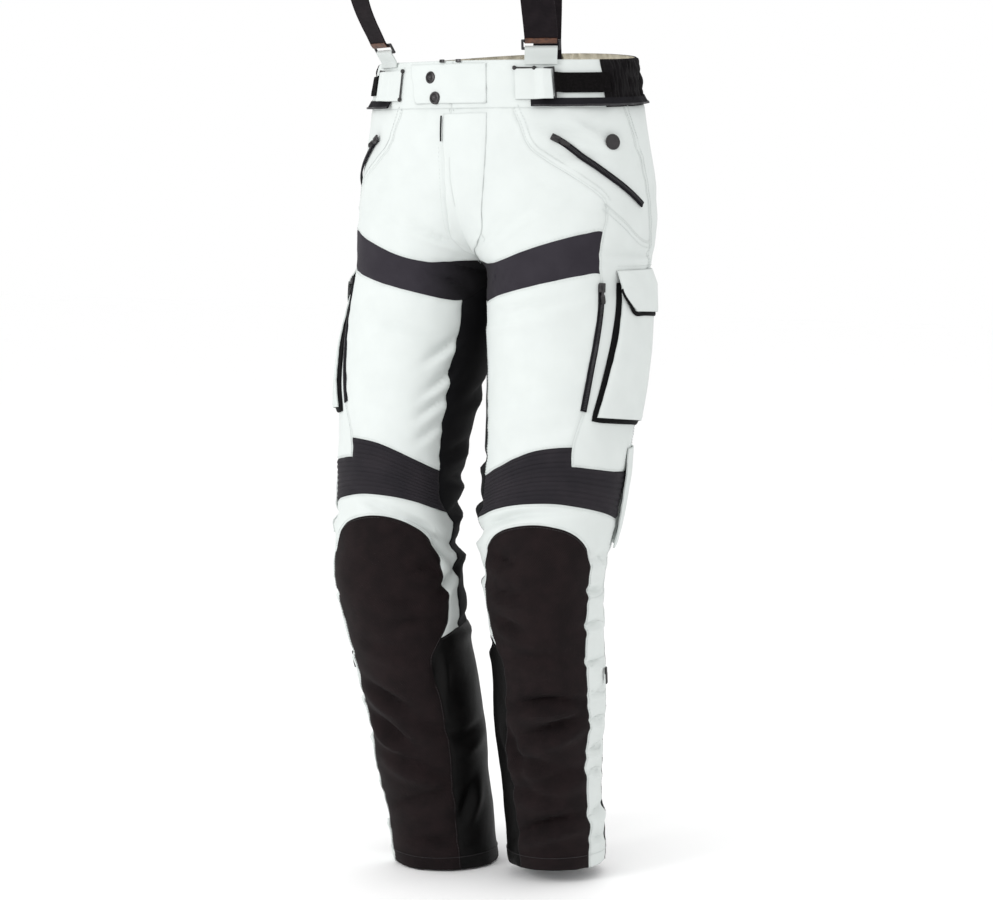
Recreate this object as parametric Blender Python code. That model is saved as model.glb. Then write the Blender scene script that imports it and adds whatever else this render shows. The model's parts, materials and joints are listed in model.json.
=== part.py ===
"""Motorcycle trousers in their worn shape, cut panel by panel, in metres with +Z up.

The cloth is one surface per half, given by a chart: u runs once round the leg from the
inseam (0) over the front (0.25), the outer side (0.5) and the back (0.75), and depth runs
down from the middle of the waistband. Every panel is a block of cells of one grid whose
lines follow the seams, so that neighbours share their edges.
"""

import bmesh
import bpy
import numpy as np
from mathutils import Vector

# Cloth and seams.
WALL = 0.002
SEAM_GAP = 0.0003
# Waist, with the waistband's half height and the rise of its back.
WAIST_HALF_WIDTH = 0.193
WAIST_HALF_DEPTH = 0.132
WAIST_BACK_RISE = 0.018
BAND_HALF = 0.030
BAND_TAPER = (0.06, 0.03)
# Depths below the middle of the waistband.
CROTCH_DEPTH = 0.240
HEM_DEPTH = {"right": 1.036, "left": 1.020}
CROTCH_BACK = 0.012
HIP_BULGE = 0.012
SEAT_BULGE = 0.008
NORMAL_STEP = 0.006
RIB_HEIGHT = 0.0011
RIBS_A_ROW = 4

SIGN = {"right": -1.0, "left": 1.0}

# Leg sections: depth, x, y, half width, half depth, turn in degrees.
LEGS = {
    "right": [
        (0.240, -0.1020, -0.012, 0.1020, 0.116, 0.0),
        (0.300, -0.1060, -0.030, 0.1000, 0.112, 4.0),
        (0.380, -0.1120, -0.052, 0.0955, 0.106, 9.0),
        (0.470, -0.1120, -0.075, 0.0850, 0.098, 14.0),
        (0.560, -0.1080, -0.094, 0.0810, 0.090, 17.0),
        (0.630, -0.1060, -0.100, 0.0855, 0.088, 17.0),
        (0.700, -0.0995, -0.090, 0.0830, 0.086, 17.0),
        (0.800, -0.0890, -0.070, 0.0785, 0.082, 17.0),
        (0.900, -0.0860, -0.048, 0.0755, 0.077, 17.0),
        (0.970, -0.0820, -0.035, 0.0715, 0.073, 17.0),
        (1.040, -0.0780, -0.026, 0.0690, 0.070, 17.0),
    ],
    "left": [
        (0.240, 0.1020, -0.012, 0.1020, 0.116, 0.0),
        (0.300, 0.1050, -0.020, 0.1010, 0.112, 4.0),
        (0.380, 0.1090, -0.034, 0.0980, 0.106, 9.0),
        (0.470, 0.1100, -0.052, 0.0940, 0.098, 14.0),
        (0.560, 0.1080, -0.070, 0.0895, 0.090, 17.0),
        (0.630, 0.1050, -0.074, 0.0770, 0.086, 17.0),
        (0.700, 0.1030, -0.066, 0.0750, 0.082, 17.0),
        (0.800, 0.0965, -0.046, 0.0735, 0.078, 17.0),
        (0.900, 0.0865, -0.026, 0.0665, 0.073, 17.0),
        (0.970, 0.0850, -0.014, 0.0650, 0.070, 17.0),
        (1.040, 0.0830, -0.006, 0.0630, 0.068, 17.0),
    ],
}

# Largest folds: leg, u, depth, tilt in degrees, half length, half width, height.
FOLDS = [
    ("right", 0.298, 0.798, -26.0, 0.036, 0.012, -0.0040),
    ("right", 0.311, 0.846, -31.0, 0.034, 0.012, -0.0040),
    ("right", 0.254, 0.887, -20.0, 0.040, 0.012, -0.0035),
    ("right", 0.80, 0.600, -5.0, 0.080, 0.018, -0.0050),
    ("right", 0.76, 0.950, -6.0, 0.045, 0.016, -0.0035),
    ("left", 0.281, 0.785, -3.0, 0.048, 0.012, -0.0040),
    ("left", 0.290, 0.822, -21.0, 0.044, 0.012, -0.0035),
    ("left", 0.273, 0.955, -14.0, 0.046, 0.012, -0.0040),
    ("left", 0.79, 0.610, 6.0, 0.080, 0.018, -0.0050),
    ("left", 0.75, 0.930, 6.0, 0.045, 0.016, -0.0035),
]

# Seams round the body: name, cells down to it, (u, depth) rows. The hem follows each leg's depth.
ROWS = [
    ("waist", 0, [(0.0, 0.030), (1.0, 0.030)]),
    ("hip", 4, [(0.0, 0.085), (0.20, 0.105), (0.30, 0.120), (0.393, 0.147), (0.443, 0.170),
                (0.50, 0.195), (0.56, 0.200), (0.75, 0.160), (1.0, 0.130)]),
    ("band_top", 3, [(0.0, 0.188), (0.06, 0.199), (0.12, 0.213), (0.16, 0.217), (0.20, 0.213),
                     (0.25, 0.203), (0.32, 0.191), (0.37, 0.185), (0.403, 0.184), (0.443, 0.208),
                     (0.50, 0.232), (0.56, 0.236), (0.75, 0.210), (1.0, 0.190)]),
    ("band_bottom", 2, [(0.0, 0.240), (0.045, 0.262), (0.09, 0.276), (0.13, 0.274), (0.17, 0.268),
                        (0.25, 0.256), (0.31, 0.247), (0.365, 0.240), (0.405, 0.238),
                        (0.45, 0.258), (0.50, 0.270), (0.56, 0.272), (0.75, 0.256),
                        (0.91, 0.262), (0.955, 0.256), (1.0, 0.240)]),
    ("rib_top", 7, [(0.0, 0.500), (0.09, 0.497), (0.155, 0.482), (0.205, 0.469), (0.25, 0.4595),
                    (0.30, 0.455), (0.33, 0.4545), (0.40, 0.456), (0.50, 0.462), (0.75, 0.470),
                    (1.0, 0.500)]),
    ("rib_step", 1, [(0.0, 0.520), (0.09, 0.516), (0.155, 0.502), (0.205, 0.490), (0.25, 0.482),
                     (0.30, 0.479), (0.33, 0.479), (0.38, 0.483), (0.447, 0.489), (0.51, 0.492),
                     (0.75, 0.495), (1.0, 0.520)]),
    ("rib_bottom", 2, [(0.0, 0.560), (0.03, 0.557), (0.05, 0.554), (0.105, 0.545), (0.15, 0.536),
                       (0.20, 0.529), (0.25, 0.5255), (0.30, 0.5255), (0.35, 0.530), (0.41, 0.538),
                       (0.495, 0.552), (0.60, 0.560), (0.75, 0.560), (1.0, 0.560)]),
    ("arch", 2, [(0.0, 0.640), (0.06, 0.632), (0.091, 0.613), (0.105, 0.594), (0.13, 0.578),
                 (0.165, 0.565), (0.21, 0.5555), (0.26, 0.552), (0.30, 0.555), (0.335, 0.561),
                 (0.365, 0.571), (0.395, 0.588), (0.419, 0.612), (0.45, 0.622), (0.55, 0.625),
                 (0.75, 0.625), (1.0, 0.640)]),
    ("strip_top", 2, [(0.0, 0.672), (0.091, 0.668), (0.25, 0.655), (0.419, 0.650), (0.55, 0.650),
                      (0.75, 0.655), (1.0, 0.672)]),
    ("calf_top", 2, [(0.0, 0.705), (0.06, 0.707), (0.092, 0.711), (0.12, 0.716), (0.25, 0.708),
                     (0.42, 0.700), (0.55, 0.700), (0.75, 0.700), (1.0, 0.705)]),
    ("hem", 11, None),
]

# Seams down the leg: name, cells to it, (depth, u) rows.
COLUMNS = [
    ("front_middle", 0, [(0.03, 0.0), (1.04, 0.0)]),
    ("gusset_front", 3, [(0.03, 0.030), (0.087, 0.055), (0.147, 0.085), (0.20, 0.091),
                         (0.276, 0.091), (0.32, 0.088), (0.345, 0.094), (0.41, 0.096),
                         (0.457, 0.097), (0.50, 0.092), (0.545, 0.072), (0.556, 0.050),
                         (0.57, 0.036), (0.61, 0.030), (0.66, 0.030), (0.705, 0.034),
                         (0.75, 0.048), (1.04, 0.052)]),
    ("shin_inner", 3, [(0.03, 0.064), (0.087, 0.108), (0.147, 0.165), (0.20, 0.170), (0.45, 0.170),
                       (0.50, 0.163), (0.53, 0.140), (0.57, 0.106), (0.613, 0.091), (0.70, 0.092),
                       (0.716, 0.116), (0.735, 0.143), (0.80, 0.146), (0.87, 0.143),
                       (0.93, 0.150), (1.04, 0.157)]),
    ("side_front", 7, [(0.03, 0.141), (0.041, 0.155), (0.075, 0.205), (0.087, 0.241),
                       (0.118, 0.333), (0.145, 0.393), (0.165, 0.404), (0.184, 0.403),
                       (0.238, 0.405), (0.255, 0.407), (0.283, 0.401), (0.327, 0.385),
                       (0.361, 0.371), (0.41, 0.353), (0.4545, 0.330), (0.479, 0.330),
                       (0.50, 0.340), (0.53, 0.362), (0.56, 0.385), (0.60, 0.410), (0.62, 0.419),
                       (0.66, 0.420), (0.70, 0.412), (0.75, 0.408), (0.80, 0.413), (0.85, 0.408),
                       (0.90, 0.414), (1.04, 0.415)]),
    ("side_back", 5, [(0.03, 0.440), (0.12, 0.505), (0.20, 0.535), (0.44, 0.535), (0.49, 0.525),
                      (0.53, 0.502), (0.552, 0.498), (0.60, 0.512), (0.66, 0.530), (1.04, 0.530)]),
    ("gusset_back", 7, [(0.03, 0.930), (0.24, 0.910), (0.60, 0.910), (0.69, 0.895), (0.735, 0.860),
                        (1.04, 0.845)]),
    ("back_middle", 3, [(0.03, 1.0), (1.04, 1.0)]),
]

# Cut pieces: name, cloth, blocks of (top seam, bottom seam, front seam, back seam).
PANELS = [
    ("front_panel", "white_cloth", [("waist", "band_top", "front_middle", "side_front")]),
    ("hip_panel", "white_cloth", [("waist", "hip", "side_front", "side_back")]),
    ("side_panel", "white_cloth", [("hip", "rib_step", "side_front", "side_back")]),
    ("thigh_band", "grey_stretch", [("band_top", "band_bottom", "front_middle", "side_front")]),
    ("thigh_panel", "white_cloth", [("band_bottom", "rib_top", "gusset_front", "side_front")]),
    ("inner_thigh", "black_stretch", [("band_bottom", "calf_top", "front_middle", "gusset_front"),
                                      ("band_bottom", "calf_top", "gusset_back", "back_middle")]),
    ("rib_panel", "grey_stretch", [("rib_top", "rib_step", "gusset_front", "side_front"),
                                   ("rib_step", "rib_bottom", "gusset_front", "side_back")]),
    ("knee_yoke", "white_cloth", [("rib_bottom", "calf_top", "gusset_front", "shin_inner"),
                                  ("rib_bottom", "arch", "shin_inner", "side_front"),
                                  ("rib_bottom", "strip_top", "side_front", "side_back")]),
    ("shin_panel", "black_shin", [("arch", "hem", "shin_inner", "side_front")]),
    ("lower_side", "white_cloth", [("strip_top", "hem", "side_front", "side_back")]),
    ("calf_panel", "black_leather", [("calf_top", "hem", "front_middle", "shin_inner"),
                                     ("calf_top", "hem", "gusset_back", "back_middle")]),
    ("back_panel", "white_cloth", [("waist", "band_bottom", "side_back", "back_middle"),
                                   ("band_bottom", "calf_top", "side_back", "gusset_back")]),
    ("back_lower", "black_stretch", [("calf_top", "hem", "side_back", "gusset_back")]),
]

# Waistband: the cells of its white front behind the hip panel's seam, and those of its height.
BAND_FRONT_PAST_HIP = 4
BAND_CELLS_HIGH = 2

# Overlays on one half, as rows of (left u, left depth, right u, right depth) from the top.
POCKET_FRONT = [
    (0.449, 0.250, 0.600, 0.250),
    (0.441, 0.290, 0.602, 0.290),
    (0.415, 0.350, 0.604, 0.355),
    (0.380, 0.418, 0.600, 0.432),
]
POCKET_FLAP = [
    (0.441, 0.2345, 0.608, 0.2345),
    (0.443, 0.262, 0.610, 0.262),
    (0.470, 0.287, 0.610, 0.291),
]
BACK_KNEE_TAB = [
    (0.500, 0.462, 0.600, 0.462),
    (0.497, 0.520, 0.605, 0.520),
    (0.505, 0.588, 0.585, 0.588),
]
ADJUSTER_TAB = [(0.150, -0.020, 0.228, -0.017), (0.150, 0.020, 0.227, 0.020)]
ADJUSTER_STRAP = [(0.238, -0.013, 0.400, -0.013), (0.238, 0.012, 0.400, 0.012)]
CLOSURE_TAB = [(0.124, -0.026, 0.084, -0.026), (0.096, 0.024, 0.084, 0.024)]
FLY_PLACKET = [
    (0.019, 0.034, 0.085, 0.034),
    (0.017, 0.080, 0.094, 0.080),
    (0.036, 0.125, 0.105, 0.125),
    (0.058, 0.158, 0.120, 0.158),
    (0.040, 0.176, 0.090, 0.176),
]

OVERLAY_WALL = 0.0014
JACKET_ZIP_START = 0.185
JACKET_ZIP_DEPTHS = (0.0185, 0.0290)
JACKET_ZIP_RISE = 0.0010
POCKET_DEPTH = 0.0085
FLAP_RISE = (0.0018, 0.0092, 0.0132)
BELLOWS_FOOT = (0.0026, 0.0038)
BELLOWS_RIM = 0.0019
TAPE_WIDTH = 0.0085
TAPE_THICK = 0.0012
SLIDER_LENGTH = 0.011
SLIDER_THICK = 0.0022
PULL_WIDTH = 0.006
PULL_THICK = 0.0012
PULL_CLEAR = 0.0014
PULL_TILT = 0.06

# Zips: name, height over the cloth, pull tab's length, (u, depth) rows from the slider's end.
ZIPS = [
    ("hip_zip", 0.0029, 0.016, [(0.243, 0.062), (0.275, 0.071), (0.345, 0.096), (0.425, 0.126),
                        (0.491, 0.153)]),
    ("vent_zip", 0.0010, 0.015, [(0.4075, 0.252), (0.401, 0.283), (0.385, 0.327), (0.371, 0.361),
                         (0.353, 0.410)]),
]

STRAP_WIDTH = 0.042
STRAP_THICK = 0.0018
# Front of the left brace, from its ring to the shoulder: x, y, z, and its width's x, y, z.
BRACE_FRONT = [
    (0.1209, -0.1120, 0.0505, 0.875, 0.48, 0.0),
    (0.1244, -0.1183, 0.0625, 0.875, 0.48, 0.0),
    (0.1320, -0.1400, 0.1050, 0.90, 0.43, 0.0),
    (0.1360, -0.1600, 0.1700, 0.95, 0.30, 0.0),
    (0.1330, -0.1580, 0.2500, 0.98, 0.18, 0.0),
    (0.1250, -0.1280, 0.3300, 0.99, 0.08, 0.10),
    (0.1150, -0.0700, 0.4000, 0.99, 0.0, 0.16),
    (0.1080, 0.0050, 0.4250, 0.99, 0.0, 0.16),
]
# Backs of the braces. The left one runs on down to the waistband and the right one, mirrored
# in this table, ends where it is sewn on the left one's outer side.
BRACE_BACK = {
    "left": [
        (0.0960, 0.0700, 0.4000, 0.97, 0.0, 0.05),
        (0.0720, 0.1120, 0.3480, 0.90, 0.0, -0.35),
        (0.0400, 0.1280, 0.2960, 0.86, 0.0, -0.48),
        (0.0120, 0.1280, 0.2560, 0.88, 0.0, -0.42),
        (-0.0080, 0.1280, 0.2120, 0.97, 0.0, -0.20),
        (-0.0120, 0.1275, 0.1600, 1.0, 0.03, 0.0),
        (-0.0120, 0.1255, 0.1050, 1.0, 0.043, 0.0),
    ],
    "right": [
        (0.0960, 0.0700, 0.4000, 0.97, 0.0, 0.05),
        (0.0720, 0.1130, 0.3480, 0.90, 0.0, -0.35),
        (0.0400, 0.1306, 0.2960, 0.86, 0.0, -0.48),
        (0.0150, 0.1306, 0.2600, 0.86, 0.0, -0.50),
        (-0.0010, 0.1306, 0.2330, 0.86, 0.0, -0.50),
    ],
}
# Foot of the left brace inside the back of the waistband, on the right half's side of the middle.
BRACE_FOOT_X = -0.012
BRACE_FOOT_DEPTHS = (-0.050, -0.036, -0.021, -0.006)
BRACE_FOOT_WIDE = (1.0, 0.043, 0.0)
BRACE_FOOT_CLEAR = 0.0012
RING_AT = (0.1190, -0.1085, 0.0480)
RING_WIDE = (0.875, 0.48, 0.0)
RING_SIZE = (0.050, 0.014)
RING_BAR = 0.0030
LOOP_WALL = 0.0018

MATERIALS = {
    "white_cloth": (0.83, 0.86, 0.85, 1.0),
    "grey_stretch": (0.055, 0.052, 0.058, 1.0),
    "black_stretch": (0.012, 0.012, 0.013, 1.0),
    "black_shin": (0.022, 0.017, 0.017, 1.0),
    "black_leather": (0.006, 0.006, 0.006, 1.0),
    "black_elastic": (0.010, 0.009, 0.010, 1.0),
    "black_tape": (0.015, 0.015, 0.016, 1.0),
    "black_plastic": (0.010, 0.010, 0.011, 1.0),
    "black_metal": (0.020, 0.020, 0.021, 1.0),
}


def curve(table, x):
    """Smooth curve through the (x, value) rows of a table."""
    xs, ys = np.array(table, float).T
    slopes = np.gradient(ys, xs)
    x = np.clip(x, xs[0], xs[-1])
    k = np.clip(np.searchsorted(xs, x, side="right") - 1, 0, len(xs) - 2)
    step = xs[k + 1] - xs[k]
    t = (x - xs[k]) / step
    near = (2 * t**3 - 3 * t**2 + 1) * ys[k] + (t**3 - 2 * t**2 + t) * step * slopes[k]
    far = (3 * t**2 - 2 * t**3) * ys[k + 1] + (t**3 - t**2) * step * slopes[k + 1]
    return near + far


def section(leg, depth, column):
    return curve([(row[0], row[column]) for row in LEGS[leg]], depth)


def leg_ring(leg, u, depth):
    """Point of the leg's turned oval at this depth."""
    angle = 2 * np.pi * u
    x = -SIGN[leg] * section(leg, depth, 3) * np.cos(angle)
    y = -section(leg, depth, 4) * np.sin(angle)
    turn = np.radians(section(leg, depth, 5))
    across = section(leg, depth, 1) + x * np.cos(turn) - y * np.sin(turn)
    along = section(leg, depth, 2) + x * np.sin(turn) + y * np.cos(turn)
    return np.stack([across, along, -depth + 0 * u], -1)


def waist_ring(leg, u):
    angle = np.pi * u
    height = -BAND_HALF + WAIST_BACK_RISE * ((1 - np.cos(angle)) / 2)**2.5
    across = SIGN[leg] * WAIST_HALF_WIDTH * np.sin(angle)
    return np.stack([across, -WAIST_HALF_DEPTH * np.cos(angle), height], -1)


def bezier(points, t):
    a, b, c, d = (np.array(point, float) for point in points)
    return (1 - t)**3 * a + 3 * (1 - t)**2 * t * b + 3 * (1 - t) * t**2 * c + t**3 * d


def rise(back, t):
    """Middle line from the crotch up to the waist, in front or at the back."""
    low = (0.0, CROTCH_BACK, -CROTCH_DEPTH)
    if back:
        top = (0.0, WAIST_HALF_DEPTH, -BAND_HALF + WAIST_BACK_RISE)
        mid_low = (0.0, CROTCH_BACK + 0.120, -CROTCH_DEPTH - 0.010)
        mid_top = (0.0, top[1] + 0.045, top[2] - 0.120)
    else:
        top = (0.0, -WAIST_HALF_DEPTH, -BAND_HALF)
        mid_low = (0.0, CROTCH_BACK - 0.105, -CROTCH_DEPTH - 0.006)
        mid_top = (0.0, top[1] - 0.022, top[2] - 0.120)
    return bezier([low, mid_low, mid_top, top], t)


def hip_loft(leg, u, t):
    """From the ring at the crotch (t = 0) up to the waist (t = 1)."""
    span = CROTCH_DEPTH - BAND_HALF
    level = np.full_like(u, CROTCH_DEPTH)
    ring = leg_ring(leg, u, level)
    start = (ring - leg_ring(leg, u, level + 0.02)) / 0.02 * span
    end = np.array([0.0, 0.0, span])
    low = (2 * t**3 - 3 * t**2 + 1) * ring + (t**3 - 2 * t**2 + t) * start
    return low + (3 * t**2 - 2 * t**3) * waist_ring(leg, u) + (t**3 - t**2) * end


def cloth(leg, u, depth):
    """Outer face of the cloth, before its folds."""
    u, depth = np.broadcast_arrays(np.asarray(u, float), np.asarray(depth, float))
    tube = leg_ring(leg, u, np.maximum(depth, CROTCH_DEPTH))
    t = np.clip((CROTCH_DEPTH - depth) / (CROTCH_DEPTH - BAND_HALF), 0, 1)[..., None]
    body = hip_loft(leg, u, t)
    front = np.maximum(0, 1 - 2 * u)[..., None]**2
    back = np.maximum(0, 2 * u - 1)[..., None]**2
    body = body + front * (rise(False, t) - hip_loft(leg, np.zeros_like(u), t))
    body = body + back * (rise(True, t) - hip_loft(leg, np.ones_like(u), t))
    hip = HIP_BULGE * np.sin(np.pi * t[..., 0]) * np.exp(-((u - 0.5) / 0.20)**2)
    seat = SEAT_BULGE * np.sin(np.pi * t[..., 0])**2 * np.exp(-((u - 0.75) / 0.14)**2)
    body = body + np.stack([SIGN[leg] * hip, seat, 0 * u], -1)
    body[..., 0] = SIGN[leg] * np.maximum(SIGN[leg] * body[..., 0], 0)
    point = np.where((depth < CROTCH_DEPTH)[..., None], body, tube)
    lift = np.maximum(0, BAND_HALF - depth)
    point[..., 2] += lift
    taper = (lift / (2 * BAND_HALF))[..., None] * np.array([BAND_TAPER[0], BAND_TAPER[1], 0.0])
    point = point * (1 - taper)
    part = SIGN[leg] * SEAM_GAP * np.exp(-((depth - CROTCH_DEPTH) / 0.05)**2)
    return point + np.stack([part, 0 * u, 0 * u], -1)


def outward(leg, u, depth):
    """Unit normal of the cloth, pointing away from the wearer."""
    step = NORMAL_STEP
    down = cloth(leg, u, depth + step) - cloth(leg, u, depth - step)
    around = cloth(leg, u + step, depth) - cloth(leg, u - step, depth)
    normal = np.cross(down, around) * SIGN[leg]
    return normal / np.linalg.norm(normal, axis=-1, keepdims=True)


def girth(u, depth):
    return np.interp(depth, (0.03, 0.24, 0.56, 0.85, 1.03), (0.52, 0.66, 0.54, 0.48, 0.43))


def fold_height(leg, u, depth):
    total = np.zeros(np.broadcast(u, depth).shape)
    for side, at_u, at_depth, tilt, half_length, half_width, height in FOLDS:
        if side == leg:
            x = (u - at_u) * girth(u, depth)
            y = depth - at_depth
            turn = np.radians(tilt)
            along = x * np.cos(turn) + y * np.sin(turn)
            across = y * np.cos(turn) - x * np.sin(turn)
            total += height * np.exp(-(along / half_length)**2 - (across / half_width)**2)
    return total


def seam_depth(name, leg, u):
    table = next(row[2] for row in ROWS if row[0] == name)
    return np.full(np.shape(u), HEM_DEPTH[leg]) if table is None else curve(table, u)


def seam_u(name, depth):
    return curve(next(row[2] for row in COLUMNS if row[0] == name), depth)


def stations(seams):
    """Grid line of each seam, as (name, line) pairs."""
    line = 0
    found = []
    for name, cells, _ in seams:
        line += cells
        found.append((name, line))
    return found


ROW_LINES = stations(ROWS)
COLUMN_LINES = stations(COLUMNS)
LAST_ROW = ROW_LINES[-1][1]
LAST_COLUMN = COLUMN_LINES[-1][1]


def between(lines, values, at):
    """Values at grid lines, filled in evenly between the seams' own values."""
    marks = np.array([line for _, line in lines])
    k = np.clip(np.searchsorted(marks, at, side="right") - 1, 0, len(marks) - 2)
    part = (at - marks[k]) / (marks[k + 1] - marks[k])
    stack = np.stack(values)
    low = np.take_along_axis(stack, k[None], 0)[0]
    high = np.take_along_axis(stack, k[None] + 1, 0)[0]
    return low * (1 - part) + high * part


def chart_grid(leg):
    """u and depth of every grid node, where the row and column seams cross."""
    row, column = np.meshgrid(np.arange(LAST_ROW + 1), np.arange(LAST_COLUMN + 1), indexing="ij")
    u = column / LAST_COLUMN
    depth = 0.03 + row / LAST_ROW
    for _ in range(60):
        rows = between(ROW_LINES, [seam_depth(name, leg, u) for name, _ in ROW_LINES], row)
        columns = between(COLUMN_LINES, [seam_u(name, depth) for name, _ in COLUMN_LINES], column)
        u = (u + columns) / 2
        depth = (depth + rows) / 2
    return u, depth


def make_nodes(leg):
    u, depth = chart_grid(leg)
    normal = outward(leg, u, depth)
    middle = (u < 1e-4) | (u > 1 - 1e-4)
    sideways = SIGN[leg] * np.minimum(SIGN[leg] * normal[..., 0], 0)
    normal[..., 0] = np.where(middle & (depth < CROTCH_DEPTH), sideways, normal[..., 0])
    normal = normal / np.linalg.norm(normal, axis=-1, keepdims=True)
    crotch = (np.abs(depth - CROTCH_DEPTH) < 1e-4) & middle
    normal[crotch] = (-SIGN[leg], 0.0, 0.0)
    point = cloth(leg, u, depth) + normal * fold_height(leg, u, depth)[..., None]
    return point, normal


NODES = {leg: make_nodes(leg) for leg in LEGS}


def on_grid(leg, row, column):
    """Point and normal of the faceted cloth at a fractional grid place."""
    j = min(int(row), LAST_ROW - 1)
    i = min(int(column), LAST_COLUMN - 1)
    down = row - j
    along = column - i
    found = []
    for field in NODES[leg]:
        top = field[j, i] * (1 - along) + field[j, i + 1] * along
        low = field[j + 1, i] * (1 - along) + field[j + 1, i + 1] * along
        found.append(top * (1 - down) + low * down)
    return found[0], found[1] / np.linalg.norm(found[1])


def on_cloth(leg, u, depth):
    """Point and normal of the faceted cloth, or of the waistband, at a chart place."""
    if depth < BAND_HALF:
        return on_band(leg, u, depth)
    rows = [float(seam_depth(name, leg, np.array(u))) for name, _ in ROW_LINES]
    columns = [float(seam_u(name, depth)) for name, _ in COLUMN_LINES]
    row = np.interp(depth, rows, [line for _, line in ROW_LINES])
    column = np.interp(u, columns, [line for _, line in COLUMN_LINES])
    return on_grid(leg, row, column)


BAND_LINES = {leg: chart_grid(leg)[0][0] for leg in LEGS}
ELASTIC_LINE = dict(COLUMN_LINES)["side_front"] + BAND_FRONT_PAST_HIP


def on_band(leg, u, depth):
    """Point and normal of the faceted waistband."""
    lines = BAND_LINES[leg]
    k = int(np.clip(np.searchsorted(lines, u, side="right") - 1, 0, len(lines) - 2))
    part = (u - lines[k]) / (lines[k + 1] - lines[k])
    ends = [cloth(leg, lines[k + n], depth) for n in (0, 1)]
    normals = [outward(leg, lines[k + n], np.float64(min(depth, 0.028))) for n in (0, 1)]
    normal = normals[0] * (1 - part) + normals[1] * part
    return ends[0] * (1 - part) + ends[1] * part, normal / np.linalg.norm(normal)


def new_sheet():
    bm = bmesh.new()
    bm.verts.layers.float_vector.new("normal")
    bm.verts.layers.float.new("wall")
    return bm


def add_cells(bm, columns, rows, place):
    """Add a grid of cells; place(across, down) gives its outer point, normal and wall."""
    normals = bm.verts.layers.float_vector["normal"]
    walls = bm.verts.layers.float["wall"]
    grid = bmesh.ops.create_grid(bm, x_segments=columns, y_segments=rows, size=1.0)
    for vert in grid["verts"]:
        point, normal, wall = place((vert.co.x + 1) / 2, (1 - vert.co.y) / 2)
        vert.co = Vector(point)
        vert[normals] = Vector(normal)
        vert[walls] = wall


def draw_in(bm, margin):
    """Move the sheet's edge inward along the cloth, half a seam's gap on each side."""
    normals = bm.verts.layers.float_vector["normal"]
    inward = {}
    for edge in bm.edges:
        if len(edge.link_faces) != 1:
            continue
        along = (edge.verts[1].co - edge.verts[0].co).normalized()
        middle = (edge.verts[0].co + edge.verts[1].co) / 2
        into = edge.link_faces[0].calc_center_median() - middle
        for vert in edge.verts:
            flat = into - into.dot(along) * along
            flat -= flat.dot(vert[normals]) * vert[normals]
            inward.setdefault(vert, []).append(flat.normalized())
    for vert, sides in inward.items():
        total = sides[0] + sides[1]
        vert.co += margin * total / max(1 + sides[0].dot(sides[1]), 0.35)


def close_sheet(bm, name, material, margin=0.0, pivot=None):
    """Give the sheet its wall, close it and make its object."""
    normals = bm.verts.layers.float_vector["normal"]
    walls = bm.verts.layers.float["wall"]
    bmesh.ops.remove_doubles(bm, verts=bm.verts[:], dist=1e-5)
    if margin:
        draw_in(bm, margin)
    inner = bmesh.ops.extrude_face_region(bm, geom=bm.faces[:], use_keep_orig=True)
    for item in inner["geom"]:
        if isinstance(item, bmesh.types.BMVert):
            item.co -= item[normals] * item[walls]
    bmesh.ops.recalc_face_normals(bm, faces=bm.faces[:])
    return add_object(bm, name, material, pivot)


def add_object(bm, name, material, pivot=None):
    origin = Vector(pivot) if pivot is not None else Vector((0.0, 0.0, 0.0))
    bmesh.ops.translate(bm, verts=bm.verts[:], vec=-origin)
    mesh = bpy.data.meshes.new(name)
    bm.to_mesh(mesh)
    bm.free()
    thing = bpy.data.objects.new(name, mesh)
    thing.location = origin
    mesh.materials.append(bpy.data.materials[material])
    bpy.data.collections["motorcycle_trousers"].objects.link(thing)
    return thing


def add_panel(leg, name, material, blocks):
    """One cut piece: its blocks of grid cells, with ribs on the stretch panel above the knee."""
    rows = dict(ROW_LINES)
    columns = dict(COLUMN_LINES)
    bm = new_sheet()
    ribbed = name == "rib_panel"
    finer = 2 * RIBS_A_ROW if ribbed else 1
    for top, bottom, first, last in blocks:
        high, wide = rows[bottom] - rows[top], columns[last] - columns[first]
        edge_row = rows["rib_bottom"]

        def place(across, down):
            row = rows[top] + down * high
            column = columns[first] + across * wide
            point, normal = on_grid(leg, row, column)
            step = round(down * high * finer)
            upper_end = columns["gusset_front"] < column < columns["side_front"]
            inside = upper_end or (row > rows["rib_step"] + 0.01 and column < columns["side_back"] - 0.01)
            raised = ribbed and step % 2 == 1 and inside and row < edge_row
            raised = raised and column > columns["gusset_front"] + 0.01
            height = RIB_HEIGHT if raised else 0.0
            return point + normal * height, normal, WALL + height

        add_cells(bm, wide, high * finer, place)
    close_sheet(bm, f"{leg}_{name}", material, SEAM_GAP / 2)


def middle_fixed(point, normal):
    """Keep a node of the middle line in the middle, so that both halves meet there."""
    if abs(point[0]) < 0.001:
        point = np.array([0.0, point[1], point[2]])
        normal = np.array([0.0, normal[1], normal[2]])
    return point, normal / np.linalg.norm(normal)


def band_cells(bm, leg, first, last):
    """Cells of the waistband between two of the body's grid lines."""

    def place(across, down):
        u = BAND_LINES[leg][first + round(across * (last - first))]
        point, normal = on_band(leg, u, BAND_HALF * (2 * down - 1))
        return *(middle_fixed(point, normal) if last == LAST_COLUMN else (point, normal)), WALL

    add_cells(bm, last - first, BAND_CELLS_HIGH, place)


def add_band():
    for leg in LEGS:
        bm = new_sheet()
        band_cells(bm, leg, 0, ELASTIC_LINE)
        close_sheet(bm, f"{leg}_band_front", "white_cloth", SEAM_GAP / 2)
    bm = new_sheet()
    for leg in LEGS:
        band_cells(bm, leg, ELASTIC_LINE, LAST_COLUMN)
    close_sheet(bm, "band_elastic", "black_elastic", SEAM_GAP / 2)


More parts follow.
